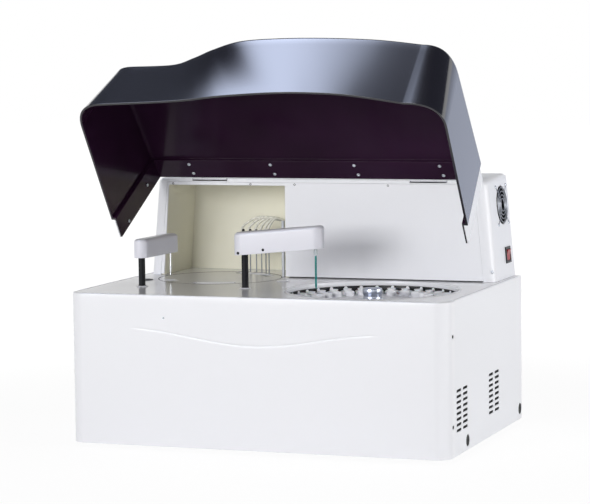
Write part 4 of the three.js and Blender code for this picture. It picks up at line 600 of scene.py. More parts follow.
def makeFrontCover(values):
    # the plan runs up one side, round a corner, along the face and back; each point has its normal
    radius = values["corner"]
    sideX, frontY = halfWidth - radius, radius - halfDepth
    corner = np.radians(np.linspace(180, 270, values["cornerSteps"] + 1))
    leftArc = np.column_stack((-sideX + radius * np.cos(corner), frontY + radius * np.sin(corner)))
    leftNormal = np.column_stack((np.cos(corner), np.sin(corner)))
    lampX, lampZ = values["indicator"]
    clear, fill, fillSteps = values["indicatorColumns"]
    face = np.linspace(-sideX, sideX, values["faceSteps"] + 1)[1:-1]
    face = np.union1d(
        face[np.abs(face - lampX) > clear], np.linspace(lampX - fill, lampX + fill, fillSteps + 1))
    behind, behindSteps = values["screwColumns"]
    side = np.linspace(frontY, frontY + behind, behindSteps + 1)[1:]
    leftSide = np.column_stack((np.full(len(side), -halfWidth), side[::-1]))
    faceLine = np.column_stack((face, np.full(len(face), -halfDepth)))
    faceNormal = np.tile((0.0, -1.0), (len(face), 1))
    left = np.concatenate(([[-halfWidth, coverHigh[1]]], leftSide, leftArc))
    leftNormal = np.concatenate((np.tile((-1.0, 0.0), (len(side) + 1, 1)), leftNormal))
    plan = np.concatenate((left, faceLine, left[::-1] * (-1, 1)))
    normal = np.concatenate((leftNormal, faceNormal, leftNormal[::-1] * (-1, 1)))
    # the crease follows low + rise sin^2 of the place along the face, and fades at its ends
    reach = values["creaseReach"]
    along = np.clip(plan[:, 0] / reach, -1, 1)
    crease = values["creaseLow"] + values["creaseRise"] * np.sin(along * math.pi / 2) ** 2
    fade = smoothStep(reach - np.abs(plan[:, 0]), 0, values["creaseFade"])
    band, shoulder = values["creaseBand"], deckTop - values["topRadius"]
    rows = np.concatenate((
        cabinetFoot + (crease - band - cabinetFoot) * closerRows(*values["rowsBelow"]),
        crease + np.linspace(-band, band, values["creaseRows"] + 1)[1:-1, None],
        crease + band + (shoulder - crease - band) * closerRows(*values["rowsAbove"])))
    sunk = values["creaseDepth"] * np.exp(-((rows - crease) / values["creaseWidth"]) ** 2) * fade

    def dimple(across, up, reach, depth):
        # a round one, at its full depth but for its edge
        apart, edge = np.hypot(across, rows - up), values["dimpleEdge"]
        return depth * (1 - smoothStep(apart, reach - edge, reach + edge))

    onSide = np.abs(plan[:, 0]) >= halfWidth - shaping["weld"]
    for y, z in values["sideScrews"]:
        sunk = sunk + np.where(onSide, dimple(plan[:, 1] - y, z, *values["screwDimple"]), 0)
    sunk = sunk + np.where(plan[:, 1] < 0, dimple(plan[:, 0] - lampX, lampZ, *values["indicatorDimple"]), 0)
    bend = np.radians(np.linspace(0, 90, values["topSteps"] + 1))[1:, None]
    edge = shoulder + values["topRadius"] * np.sin(bend) + 0 * crease
    edgeInset = values["topRadius"] * (1 - np.cos(bend)) + 0 * crease
    inside = np.array([deckTop, cabinetFoot])[:, None] + 0 * crease
    heights = np.concatenate((rows, edge, inside))
    inset = np.concatenate((sunk, edgeInset, np.full(inside.shape, float(values["wall"]))))
    points = np.stack((
        plan[:, 0] - inset * normal[:, 0], plan[:, 1] - inset * normal[:, 1], heights), axis=-1)
    count, columns = heights.shape
    ends = np.arange(count) * columns
    faces = gridFaces(count, columns, closeRows=True) + [ends.tolist(), (ends[::-1] + columns - 1).tolist()]
    addPiece("front_cover_skin", points, faces, mouldedAbs, "white_plastic", "cabinet", ["front_cover"])


makeFrontCover(frontCover)

sideVents = {
    "length": 30,
    "height": 5,
    "pitch": 10,
    "rows": 8,
    "columns": 2,
    "columnGap": 10,
    "lowest": 52,
    "groups": (-161, 49),
    "endSteps": 8,
    "foamGap": 0.4,
    "foamMargin": 8,
    "foamSheet": 3,
    "foamSteps": 40,
    "foamRim": 12,  # power with which the pad's face falls off at its rim
    "foamRipple": (0.3, 37, 41),  # height, and how fast it runs along and up
}
sidePlugs = {
    "places": ((-126, 25), (234.5, 28)),
    "radius": 10.5,
    "gap": 0.4,
    "steps": 48,
    "sink": 1.5,
    # offsets from the rim's foot, and the dish in its middle
    "rim": ((-1.5, -1), (-1.5, 0), (0, 0), (0, 0.5), (-0.5, 1.1), (-1.4, 1.3), (-2.4, 1.1), (-3.4, 0.8)),
    "dish": 0.7,
}
sidePanel = {
    "wall": 3,
    "sheet": 1.2,
    "edge": 0.5,
    "flangeReach": 14,
    "flangeSheet": 2,
    "flangeDrop": 0.3,
    "flangeInset": 0.1,
}


def ventOutlines(values, extra):
    # round-ended slots in rows and columns about each group's middle, as (y, z)
    radius = values["height"] / 2 + extra
    straight = values["length"] / 2 - values["height"] / 2
    slots = []
    for groupY in values["groups"]:
        for column in range(values["columns"]):
            aside = column - (values["columns"] - 1) / 2
            middle = groupY + aside * (values["length"] + values["columnGap"])
            for row in range(values["rows"]):
                level = values["lowest"] + row * values["pitch"]
                slots.append(np.concatenate((
                    arc((middle + straight, level), radius, -90, 90, values["endSteps"]),
                    arc((middle - straight, level), radius, 90, 270, values["endSteps"]))))
    return slots


def makeSidePanel(side, values, plugs, vents=None):
    # a flat sheet with its slots and the holes of its plugs, and the flange folded under the deck
    name = "side_panel_right" if side > 0 else "side_panel_left"
    low, high = nodeBox(name)

    def loopsAt(inset):
        y0, y1, z0, z1 = low[1] + inset, high[1] - inset, low[2] + inset, high[2] - inset
        loops = [[(y0, z0), (y1, z0), (y1, z1), (y0, z1)]]
        hole = plugs["radius"] + plugs["gap"] + inset
        loops += [circle(place, hole, plugs["steps"]) for place in plugs["places"]]
        return loops + (ventOutlines(vents, inset) if vents else [])

    sheet, faces = roundedPlate(loopsAt, halfWidth - values["sheet"], halfWidth, values["edge"])
    sheet = np.column_stack((sheet[:, 2] * side, sheet[:, 0], sheet[:, 1]))
    under = deckLow[2] - values["flangeDrop"]
    outer = halfWidth - values["sheet"] - values["flangeInset"]
    inner = halfWidth - values["wall"] - values["flangeReach"]
    y0, y1, z0 = low[1], high[1] - values["wall"], under - values["flangeSheet"]
    fold = [(x, y, z) for x in (outer, inner) for y, z in ((y0, z0), (y1, z0), (y1, under), (y0, under))]
    fold = np.array(fold) * (side, 1, 1)
    foldFaces = [[0, 1, 2, 3], [7, 6, 5, 4], [0, 4, 5, 1], [1, 5, 6, 2], [2, 6, 7, 3], [3, 7, 4, 0]]
    addPiece(
        name + "_sheet", *joined((sheet, faces), (fold, foldFaces)), powderCoat, "white_paint", "cabinet",
        [name], flatAxis=0)


def makeVentFoam(values):
    # a pad of foam behind each group of slots
    reach = values["length"] + values["columnGap"] / 2 + values["foamMargin"]
    bottom = values["lowest"] - values["foamMargin"]
    top = values["lowest"] + (values["rows"] - 1) * values["pitch"] + values["foamMargin"]
    pads = []
    steps = np.linspace(-1, 1, values["foamSteps"] + 1)
    u, v = np.meshgrid(steps, steps)
    rim = np.clip(np.maximum(np.abs(u), np.abs(v)), 0, 1) ** values["foamRim"]
    height, alongRate, upRate = values["foamRipple"]
    front = halfWidth - sidePanel["sheet"] - values["foamGap"]
    outer = front - rim - height * np.sin(alongRate * u) * np.sin(upRate * v)
    for groupY in values["groups"]:
        face = np.stack((outer, groupY + reach * u, (bottom + top) / 2 + (top - bottom) / 2 * v), axis=-1)
        back = face.copy()
        back[..., 0] = front - values["foamSheet"]
        pads.append(closedSheets(face, back))
    addPiece("vent_foam", *joined(*pads), filterFoam, "rubber", "cabinet")


makeSidePanel(1, sidePanel, sidePlugs, sideVents)
makeSidePanel(-1, sidePanel, sidePlugs)
makeVentFoam(sideVents)

well = {"centre": (167, -75), "radius": 157, "steps": 144}
ring = {"centre": (-188, 70), "opening": 118, "steps": 112}
deckSheet = {"corner": 24.7, "cornerSteps": 14, "edge": 0.5, "holeSteps": 32, "potHole": 9.3}
guide = {
    "radius": 8.5,
    "flange": 11,
    "sheet": 1.6,
    "gap": 0.3,
    "bore": 6.85,
    "steps": 64,
    # offsets from the flange's seat, the bush's top and the bore's top, and the seal's from the last
    "flangeRim": ((-0.3, 0), (0, 0.2), (-0.4, 0.7)),
    "crown": ((0.5, -0.2), (-0.2, 0)),
    "mouth": ((0.9, 0), (0.7, -0.7), (0, -0.9)),
    "seal": ((-0.3, -0.6), (0.6, -0.6), (0.6, 0.1), (0.2, 0.4), (-0.2, 0.1)),
}


def middleOf(name):
    low, high = nodeBox(name)
    return (low[:2] + high[:2]) / 2


probeAxis, mixerAxis = middleOf("probe_guide"), middleOf("mixer_guide")
potCentres = {name: middleOf(name) for name in ("probe_rinse_pot", "mixer_rinse_pot")}


def makeDeck(values):
    # the deck's sheet with a round hole for each disc, column and pot
    corner, steps, holeSteps = values["corner"], values["cornerSteps"], values["holeSteps"]
    sideX, frontY = deckHigh[0] - corner, deckLow[1] + corner

    def loopsAt(inset):
        x0, x1, y1 = deckLow[0] + inset, deckHigh[0] - inset, deckHigh[1] - inset
        outline = np.concatenate((
            [(x0, y1)], arc((-sideX, frontY), corner - inset, 180, 270, steps),
            arc((sideX, frontY), corner - inset, 270, 360, steps), [(x1, y1)]))
        column = guide["radius"] + guide["gap"] + inset
        return [
            outline, circle(well["centre"], well["radius"] + inset, well["steps"]),
            circle(ring["centre"], ring["opening"] + inset, ring["steps"]),
            *(circle(place, column, holeSteps) for place in (probeAxis, mixerAxis)),
            *(circle(place, values["potHole"] + inset, holeSteps) for place in potCentres.values())]

    addPiece(
        "deck_sheet", *roundedPlate(loopsAt, deckLow[2], deckTop, values["edge"]), deckCoat, "white_paint",
        "cabinet", ["deck_plate"], flatAxis=2)


makeDeck(deckSheet)
softened("rear_panel_sheet", powderCoat, "white_paint", "rear_panel", bevel=0.5)
softened("power_inlet_body", grainedBlack, "black_plastic", "power_inlet", bevel=0.6)

feet = {
    "steps": 48,
    "profile": [(0, 0.6), (11.5, 0.6), (12, 0), (13.4, 0), (14.2, 0.5), (16.6, 6.6), (16.8, 7.3), (16.2, 7.7),
                (0, 7.7)],
}


def makeFeet(values):
    # a rubber foot with a dished sole and a rounded flare, turned about each foot's middle
    for name in ("foot_front_left", "foot_front_right", "foot_rear_left", "foot_rear_right"):
        turnedPiece(name + "_rubber", values["profile"], values["steps"], middleOf(name), nitrileRubber,
                    "rubber", "cabinet", [name])


makeFeet(feet)

indicatorLens = {
    "steps": 24,
    "sink": 0.9,
    "middle": 0.82,
    "shape": ((1, -0.1), (1, 0.4), (0.8, 0.7), (0.4, 0.8)),  # share of the radius, and height
}


def sidePlug(side, y, z, values):
    # a press-in cap: a flat disc with a rounded rim and a shallow dish
    rim = offsetsFrom(values["radius"], 0, values["rim"])
    points, faces = lathe([(0, rim[0][1]), *rim, (0, values["dish"])], values["steps"])
    return placed(points, (side * (halfWidth - values["sink"]), y, z), (side, 0, 0)), faces


def makeCabinetFittings(values, plugs, lens):
    for side, word in ((1, "right"), (-1, "left")):
        sunk = side * (halfWidth - values["screwDimple"][1])
        screws(
            "side_screws_" + word, blackAnodised, "cabinet",
            [((sunk, y, z), (side, 0, 0)) for y, z in values["sideScrews"]], values["sideScrewRadius"])
        caps = [sidePlug(side, y, z, plugs) for y, z in plugs["places"]]
        addPiece("side_plugs_" + word, *joined(*caps), nitrileRubber, "rubber", "cabinet")
    x, z = values["indicator"]
    shape = [(share * values["indicatorRadius"], height) for share, height in lens["shape"]]
    points, faces = lathe([(0, shape[0][1]), *shape, (0, lens["middle"])], lens["steps"])
    addPiece(
        "front_indicator", placed(points, (x, -halfDepth + lens["sink"], z), (0, -1, 0)), faces, clearPentene,
        "clear_plastic", "cabinet")


makeCabinetFittings(frontCover, sidePlugs, indicatorLens)
print("cabinet dressed")


# Tower and wash bay

softened("tower_hood", powderCoat, "white_paint", "tower_shell", bevel=0.4)
softened("tower_panel_sheet", powderCoat, "white_paint", "tower_front_panel", bevel=0.6)
softened("wash_bay_lining", creamEnamel, "cream_lining", "recess_liner", bevel=0.3)

towerScrews = {
    "across": (-297, -136, -46, 141),
    "height": 461.5,
    "sink": 0.9,
    "radius": 2.6,
    "sidePlace": (342, 107, 302),
    "sideAim": (0.7, -0.7, 0),
    "sideRadius": 3,
}
towerFront = nodeBox("tower_shell")[0][1]
screws(
    "tower_panel_screws", blackAnodised, "cabinet",
    [((x, towerFront + towerScrews["sink"], towerScrews["height"]), (0, -1, 0))
     for x in towerScrews["across"]],
    towerScrews["radius"])
print("tower dressed")


# Lid, drawn shut and turned open about its hinge

lidShape = {
    "wall": 4.5,
    "frontY": -181,
    "crownHeight": 164.05,
    "roofSlope": 6.25,
    "sideTop": 332,
    "sideFoot": 348,
    "heelY": 58,
    "rearY": 99.5,
    "step": 8,
    "bandWall": 3,
    "edgeRadius": 12,
    "cornerStartY": -160,
    "bulge": 61,
    "bottomGap": 1.2,
    "curveSteps": 126,
    "cornerSteps": 12,
    "wallRows": 10,
    "filletSteps": 8,
    "open": 55,
    "hinge": (0, 104.6, 472.9),
    # shares of half the width and of the bulge
    "lip": ((-0.84, 0.545), (-0.43, 0.66), (-0.17, 0.83), (0.1, 0.935), (0.3, 0.94), (0.52, 0.85),
            (0.8, 0.56)),
    "crown": ((-0.88, 0.07), (-0.64, 0.13), (-0.5, 0.4), (-0.37, 0.72), (-0.2, 1.03), (0.02, 1.13),
              (0.3, 1.13), (0.6, 1.03), (0.84, 0.83)),
}


def openedDirection(directions):
    # turned about the hinge's axis along X, front edge upwards
    turn = math.radians(lidShape["open"])
    cosine, sine = math.cos(turn), math.sin(turn)
    x, y, z = np.asarray(directions, float).T
    return np.stack((x, y * cosine + z * sine, z * cosine - y * sine), axis=-1)


def openedLid(points):
    hinge = np.array(lidShape["hinge"], float)
    return openedDirection(np.asarray(points, float).reshape(-1, 3) - hinge) + hinge


def splineThrough(points, steps):
    # a curve through all the points: between two of them a cubic whose end slopes are half the
    # chord of each point's neighbours
    points = np.asarray(points, float)
    place = np.linspace(0, len(points) - 1, steps + 1)
    base = np.minimum(place.astype(int), len(points) - 2)
    share = (place - base)[:, None]
    before = points[np.where(base == 0, 0, base - 1)]
    start, end = points[base], points[base + 1]
    after = points[np.minimum(base + 2, len(points) - 1)]
    startSlope, endSlope = (end - before) / 2, (after - start) / 2
    cubic = (2 * start - 2 * end + startSlope + endSlope) * share ** 3
    square = (-3 * start + 3 * end - 2 * startSlope - endSlope) * share ** 2
    return cubic + square + startSlope * share + start


def lidPlan(values, shares, half, rearY):
    # along one side, round a corner that is a parabola, along the front curve and back again
    through = [(across * half, values["frontY"] - forward * values["bulge"]) for across, forward in shares]
    curve = splineThrough(through, values["curveSteps"])

    def corner(side, end):
        share = np.linspace(0, 1, values["cornerSteps"] + 1)[:, None]
        start, knee = np.array((side * half, values["cornerStartY"])), np.array((side * half, end[1]))
        return start * (1 - share) ** 2 + 2 * knee * share * (1 - share) + end * share ** 2

    return np.concatenate((
        [(-half, rearY)], corner(-1, curve[0]), curve[1:-1], corner(1, curve[-1])[::-1], [(half, rearY)]))


def insetPlan(plan, distance, rearY):
    # the plan moved inwards square to the chord of each point's neighbours
    before, after = np.vstack((plan[:1], plan[:-1])), np.vstack((plan[1:], plan[-1:]))
    along = after - before
    along /= np.linalg.norm(along, axis=1)[:, None]
    moved = plan + distance * np.column_stack((-along[:, 1], along[:, 0]))
    moved[[0, -1], 1] = rearY
    return moved


def lidRoof(values, y):
    slope = math.tan(math.radians(values["roofSlope"]))
    return deckTop + values["crownHeight"] + (y - values["frontY"]) * slope


def lidRings(values, wall, bottom, rearY):
    # rows of the front box: straight lines from the lip's curve to the crown's, then a quarter round
    lip = insetPlan(lidPlan(values, values["lip"], values["sideFoot"], rearY), wall, rearY)
    crown = insetPlan(lidPlan(values, values["crown"], values["sideTop"], rearY), wall, rearY)
    radius = values["edgeRadius"] - wall
    shoulder = lidRoof(values, crown[:, 1]) - radius - wall
    share = np.linspace(0, 1, values["wallRows"] + 1)[:, None]
    flat = lip[None] * (1 - share[..., None]) + crown[None] * share[..., None]
    height = bottom * (1 - share) + shoulder * share
    rows = [np.concatenate((flat, height[..., None]), axis=-1)]
    for angle in np.linspace(0, math.pi / 2, values["filletSteps"] + 1)[1:]:
        drawnIn = insetPlan(crown, radius * (1 - math.cos(angle)), rearY)
        level = lidRoof(values, drawnIn[:, 1]) - radius * (1 - math.sin(angle)) - wall
        rows.append(np.column_stack((drawnIn, level))[None])
    return np.concatenate(rows)


def lidGate(values, inset, bottom, y):
    # the rear band's section at a depth: up one side, over and down
    low, high = values["sideFoot"] - inset, values["sideTop"] - inset
    top = lidRoof(values, y) - inset
    return np.array([(-low, y, bottom), (-high, y, top), (high, y, top), (low, y, bottom)])


def makeLid(values):
    # the front box outside and inside, each a grid and a flat roof, joined round the lip and, over
    # the step at the heel, to the rear band
    bottom = deckTop + values["bottomGap"]
    innerHeel = values["heelY"] - values["wall"]
    outer = lidRings(values, 0, bottom, values["heelY"])
    inner = lidRings(values, values["wall"], bottom, innerHeel)
    rows, columns = outer.shape[:2]
    size = rows * columns
    step, band = values["step"], values["step"] + values["bandWall"]
    gates = [
        lidGate(values, step, bottom, values["heelY"]), lidGate(values, step, bottom, values["rearY"]),
        lidGate(values, band, bottom, values["rearY"]), lidGate(values, band, bottom, innerHeel)]
    points = np.concatenate((outer.reshape(-1, 3), inner.reshape(-1, 3), *gates))
    gate = [2 * size + 4 * k for k in range(4)]
    faces = gridFaces(rows, columns) + gridFaces(rows, columns, first=size)
    topRow = np.arange(columns) + (rows - 1) * columns
    faces += [topRow.tolist(), (topRow + size)[::-1].tolist()]
    lipEdge = np.arange(columns - 1)
    faces += np.stack((lipEdge, lipEdge + 1, lipEdge + 1 + size, lipEdge + size), axis=-1).tolist()
    leftEnd, rightEnd = np.arange(rows) * columns, np.arange(rows) * columns + columns - 1
    for first, corner in ((0, gate[0]), (size, gate[3])):
        faces.append([
            *(leftEnd + first).tolist(), *(rightEnd[::-1] + first).tolist(),
            *range(corner + 3, corner - 1, -1)])
    for k in range(3):
        faces += gridFaces(2, 4, first=gate[k])
    for end, hold in ((0, 0), (columns - 1, 3)):
        faces.append([end, size + end, gate[3] + hold, gate[2] + hold, gate[1] + hold, gate[0] + hold])
    return addPiece(
        "lid_canopy", openedLid(points), faces, smoked, "smoked_plastic", "lid", ["lid_shell"], bevel=1.0,
        segments=3)


makeLid(lidShape)
softened("lid_frame_strap", powderCoat, "white_paint", "lid_frame", bevel=0.4)
softened("lid_hinge_left", powderCoat, "white_paint", "hinge_bracket_left", bevel=0.4)
softened("lid_hinge_right", powderCoat, "white_paint", "hinge_bracket_right", bevel=0.4)

lidScrews = {
    "across": (-251, -84, 84, 251),
    "depths": (64, 88),
    "stagger": 3,
    "sides": ((76.9, 414), (90, 321)),
    "sink": 0.05,
    "radius": 3.4,
}


def makeLidScrews(values):
    # pairs along the band's roof inside, and on its side walls
    slope = math.radians(lidShape["roofSlope"])
    under = lidShape["step"] + lidShape["bandWall"] - values["sink"]
    places = []
    for x in values["across"]:
        for k, y in enumerate(values["depths"]):
            place = openedLid([(x + values["stagger"] * k, y, lidRoof(lidShape, y) - under)])[0]
            places.append((place, openedDirection((0, math.sin(slope), -math.cos(slope)))))
    lean = (lidShape["sideFoot"] - lidShape["sideTop"]) / lidShape["crownHeight"]
    for side in (-1, 1):
        for y, z in values["sides"]:
            x = side * (lidShape["sideFoot"] - under - lean * (z - deckTop))
            places.append((openedLid([(x, y, z)])[0], openedDirection((-side, 0, 0))))
    screws("lid_screws", brushedSteel, "lid", places, values["radius"])


makeLidScrews(lidScrews)
print("lid dressed")


# Reagent disc and its well

wellRim = {
    "profile": [(157.1, 279.2), (155.6, 275.4), (155.2, 275.8), (155.2, 283.0), (155.8, 283.7),
                (157.2, 283.9), (159.6, 283.6), (160.2, 283.1), (157.3, 283.1)],
    "steps": 160,
    "sharp": 50,
}
wellPot = {"steps": 128, "wall": 3, "flange": 6, "hole": 9, "sweep": 8, "sweepSteps": 7}
turnedPiece(
    "well_rim", wellRim["profile"], wellRim["steps"], well["centre"], mouldedAbs, "white_plastic", "cabinet",
    closed=True, sharp=wellRim["sharp"])


def makeWell(values):
    # the pot: floor with its bolt hole, wall and flange, with a swept radius at the foot of the wall
    low, high = nodeBox("reagent_pot")
    floor, top, radius = low[2], high[2], well["radius"]
    hole, wall, sweep = values["hole"], values["wall"], values["sweep"]
    angles = np.radians(np.linspace(270, 360, values["sweepSteps"] + 1))
    inside = np.column_stack((
        radius - sweep + sweep * np.cos(angles), floor + wall + sweep + sweep * np.sin(angles)))
    outer, rim, under = radius + wall, radius + wall + values["flange"], top - wall
    profile = [(hole, floor), (outer, floor), (outer, under), (rim, under), (rim, top), (radius, top),
               *inside[::-1], (hole, floor + wall)]
    turnedPiece("well_pot", profile, values["steps"], well["centre"], grainedBlack, "black_plastic",
                "cabinet", ["reagent_pot"], closed=True)


makeWell(wellPot)

bottles = {
    "count": 32,
    "inner": 131,
    "outer": 152,
    "gap": 3,
    "neckAt": 142,
    "neck": 8.5,
    "bore": 6.5,
    "floor": 198.7,
    "shoulder": 268,
    "top": 272,
    "boreFloor": 234.5,
    "tabFoot": 265,
    "tabTop": 275.4,
    "tabHalf": 3.5,
    "tabSheet": 2,
    "tabRows": 8,
    "tabSides": 12,
    "tabRound": (0.96, 6),  # share of the height, and power, by which its sides draw in
    "tabThin": (0.3, 4),  # share of the sheet lost at the top, and power
    "tabPower": 0.4,
    "steps": 32,
    "power": 0.32,
}


def bottleShape(values):
    # each level is a mix of a rounded wedge, whose corners come from a power of sine and cosine,
    # and the neck's circle; the mix goes from one to the other over the shoulder
    turn = np.linspace(0, 2 * math.pi, values["steps"], endpoint=False)[None, :]
    cosine, sine = np.cos(turn), np.sin(turn)
    boxX = np.sign(cosine) * np.abs(cosine) ** values["power"]
    boxY = np.sign(sine) * np.abs(sine) ** values["power"]
    middle, reach = (values["inner"] + values["outer"]) / 2, (values["outer"] - values["inner"]) / 2
    floor, shoulder, top = values["floor"], values["shoulder"], values["top"]
    neck, bore = values["neck"], values["bore"]
    # height, share of the neck's circle, its radius, size of the wedge
    levels = np.array([
        (floor, 0, neck, 0), (floor, 0, neck, 0.93), (floor + 0.6, 0, neck, 0.98), (floor + 2, 0, neck, 1),
        (shoulder - 9, 0, neck, 1.0), (shoulder - 7.5, 0, neck, 0.985), (shoulder - 7.3, 0, neck, 1.0),
        (shoulder - 3, 0, neck, 0.99), (shoulder - 1, 0, neck, 0.95), (shoulder, 0.15, neck, 0.86),
        (shoulder + 0.7, 0.6, neck, 0.7), (shoulder + 1.2, 1, neck - 1.2, 0.6),
        (shoulder + 2.6, 1, neck - 1.4, 0.6), (shoulder + 3.2, 1, neck, 0.6), (top - 0.8, 1, neck, 0.6),
        (top, 1, neck - 0.7, 0.6), (top, 1, bore + 0.4, 0.6), (top - 0.5, 1, bore, 0.6),
        (values["boreFloor"], 1, bore, 0.6), (values["boreFloor"], 1, 0, 0.6)])
    height, mix, radius, size = levels.T[:, :, None]
    x = middle + reach * size * boxX
    half = x * math.tan(math.pi / values["count"]) - values["gap"] / 2
    y = half * size * boxY
    x = x * (1 - mix) + (values["neckAt"] + radius * cosine) * mix
    y = y * (1 - mix) + radius * sine * mix
    return np.stack((x, y, np.broadcast_to(height, x.shape)), axis=-1)


def bottleTab(values):
    # a lip at the bottle's back to lift it by: a slab whose top end is rounded by a square root
    low, high = values["tabFoot"], values["tabTop"]
    up = np.concatenate(([0, 0], np.linspace(0, 1, values["tabRows"] + 1), [1]))
    reach, roundPower = values["tabRound"]
    wide = values["tabHalf"] * np.sqrt(np.clip(1 - (up * reach) ** roundPower, 0, 1))
    wide[[0, -1]] = 0
    thinning, thinPower = values["tabThin"]
    thick = np.where(wide > 0, values["tabSheet"] / 2, 0) * (1 - thinning * up ** thinPower)
    turn = np.linspace(0, 2 * math.pi, values["tabSides"], endpoint=False)[None, :]
    x, y = (np.sign(wave) * np.abs(wave) ** values["tabPower"] for wave in (np.cos(turn), np.sin(turn)))
    x = values["outer"] - values["tabSheet"] / 2 + thick[:, None] * x
    y = wide[:, None] * y
    z = (low + (high - low) * up)[:, None]
    return np.stack((x, y, np.broadcast_to(z, x.shape)), axis=-1)


def aroundCentre(shape, centre, start, count):
    # copies of one shape turned by equal steps about an upright axis
    rows, columns = shape.shape[:2]
    angles = np.radians(start) + np.arange(count) * 2 * math.pi / count
    x, y, z = (shape[..., k][None] for k in range(3))
    cosine, sine = np.cos(angles)[:, None, None], np.sin(angles)[:, None, None]
    points = np.stack((
        centre[0] + x * cosine - y * sine, centre[1] + x * sine + y * cosine,
        np.broadcast_to(z, (count, rows, columns))), axis=-1)
    faces = []
    for k in range(count):
        faces += gridFaces(rows, columns, closeColumns=True, first=k * rows * columns)
    return points.reshape(-1, 3), faces


def bearingTo(fromPoint, toPoint):
    return math.degrees(math.atan2(toPoint[1] - fromPoint[1], toPoint[0] - fromPoint[0]))


needleLow, needleHigh = nodeBox("probe_needle")
needlePlace = middleOf("probe_needle")
probeReach = math.hypot(*(needlePlace - probeAxis))


def probeMeets(centre, radius, side):
    # where the needle's circle about the probe meets one about a disc's centre: the cosine rule gives
    # its angle from the line between the two centres, and side says to which side
    apart = math.dist(probeAxis, centre)
    swing = math.acos((probeReach ** 2 + apart ** 2 - radius ** 2) / (2 * probeReach * apart))
    bearing = math.radians(bearingTo(probeAxis, centre)) + side * swing
    return probeAxis + probeReach * np.array((math.cos(bearing), math.sin(bearing)))


tray = {
    "disc": 153,
    "sheet": 3,
    "top": 199,
    "bore": 5.3,
    "steps": 128,
    "dish": 0.32,
    # offsets from the disc's edge below and above
    "edgeFoot": ((-0.8, 0), (0, 0.8)),
    "edgeTop": ((0, -0.4), (-0.4, -0.32)),
    "hub": 30,
    "hubBore": 22,
    "hubEdge": 1,
    "hubGap": 0.4,
    "hubSteps": 64,
}
rack = {
    "inner": 27,
    "outer": 124.4,
    "low": 229,
    "top": 263,
    "count": 24,
    "arcSteps": 8,
    "spokeSteps": 10,
    # offsets from the ring's outer and inner radius, above and below
    "rimTop": ((0, 0), (1.1, -0.5), (1.6, -1.6)),
    "rimFoot": ((1.6, 0.8), (0.8, 0)),
    "boreFoot": ((-0.4, 0), (-1, 0.6)),
    "boreTop": ((-1, -1), (0, 0)),
    "cup": 9,
    "cupBore": 7,
    "cupTop": 272,
    "cupFloor": 232,
    # offsets from the cup's radius on the ring and at its top, and from its bore's there and at its floor
    "cupFoot": ((-0.6, 0), (-0.6, 1.5), (-0.2, 2.2)),
    "lip": ((-0.2, -3.2), (0, -2.8), (0, -0.8), (-0.5, -0.1), (-1.1, 0)),
    "mouth": ((0.3, -0.3), (0, -1)),
    "middle": ((-0.6, -8),),
    "bottom": ((-1.2, 4), (-3, 0.8)),
}


def makeDisc(values, trayValues):
    # the tray's floor with a raised rim, its hub, and the bottles standing on it
    centre, top, disc, bore = well["centre"], trayValues["top"], trayValues["disc"], trayValues["bore"]
    low, dish = top - trayValues["sheet"], top - trayValues["dish"]
    profile = [(bore, low), *offsetsFrom(disc, low, trayValues["edgeFoot"]),
               *offsetsFrom(disc, top, trayValues["edgeTop"]), (bore, dish)]
    hub, hubBore, edge = trayValues["hub"], trayValues["hubBore"], trayValues["hubEdge"]
    hubTop = rack["low"] - trayValues["hubGap"]
    hubProfile = [(hubBore, top - edge), (hub, top - edge), (hub, hubTop - edge), (hub - edge, hubTop),
                  (hubBore + edge, hubTop), (hubBore, hubTop - edge)]
    start = bearingTo(centre, probeMeets(centre, values["neckAt"], -1))
    shapes = [lathe(profile, trayValues["steps"], centre, closed=True),
              lathe(hubProfile, trayValues["hubSteps"], centre, closed=True),
              aroundCentre(bottleShape(values), centre, start, values["count"]),
              aroundCentre(bottleTab(values), centre, start, values["count"])]
    addPiece("reagent_bottles", *joined(*shapes), blownPolyethylene, "bottle_white", "reagent_disc",
             ["disc_tray"])


makeDisc(bottles, tray)


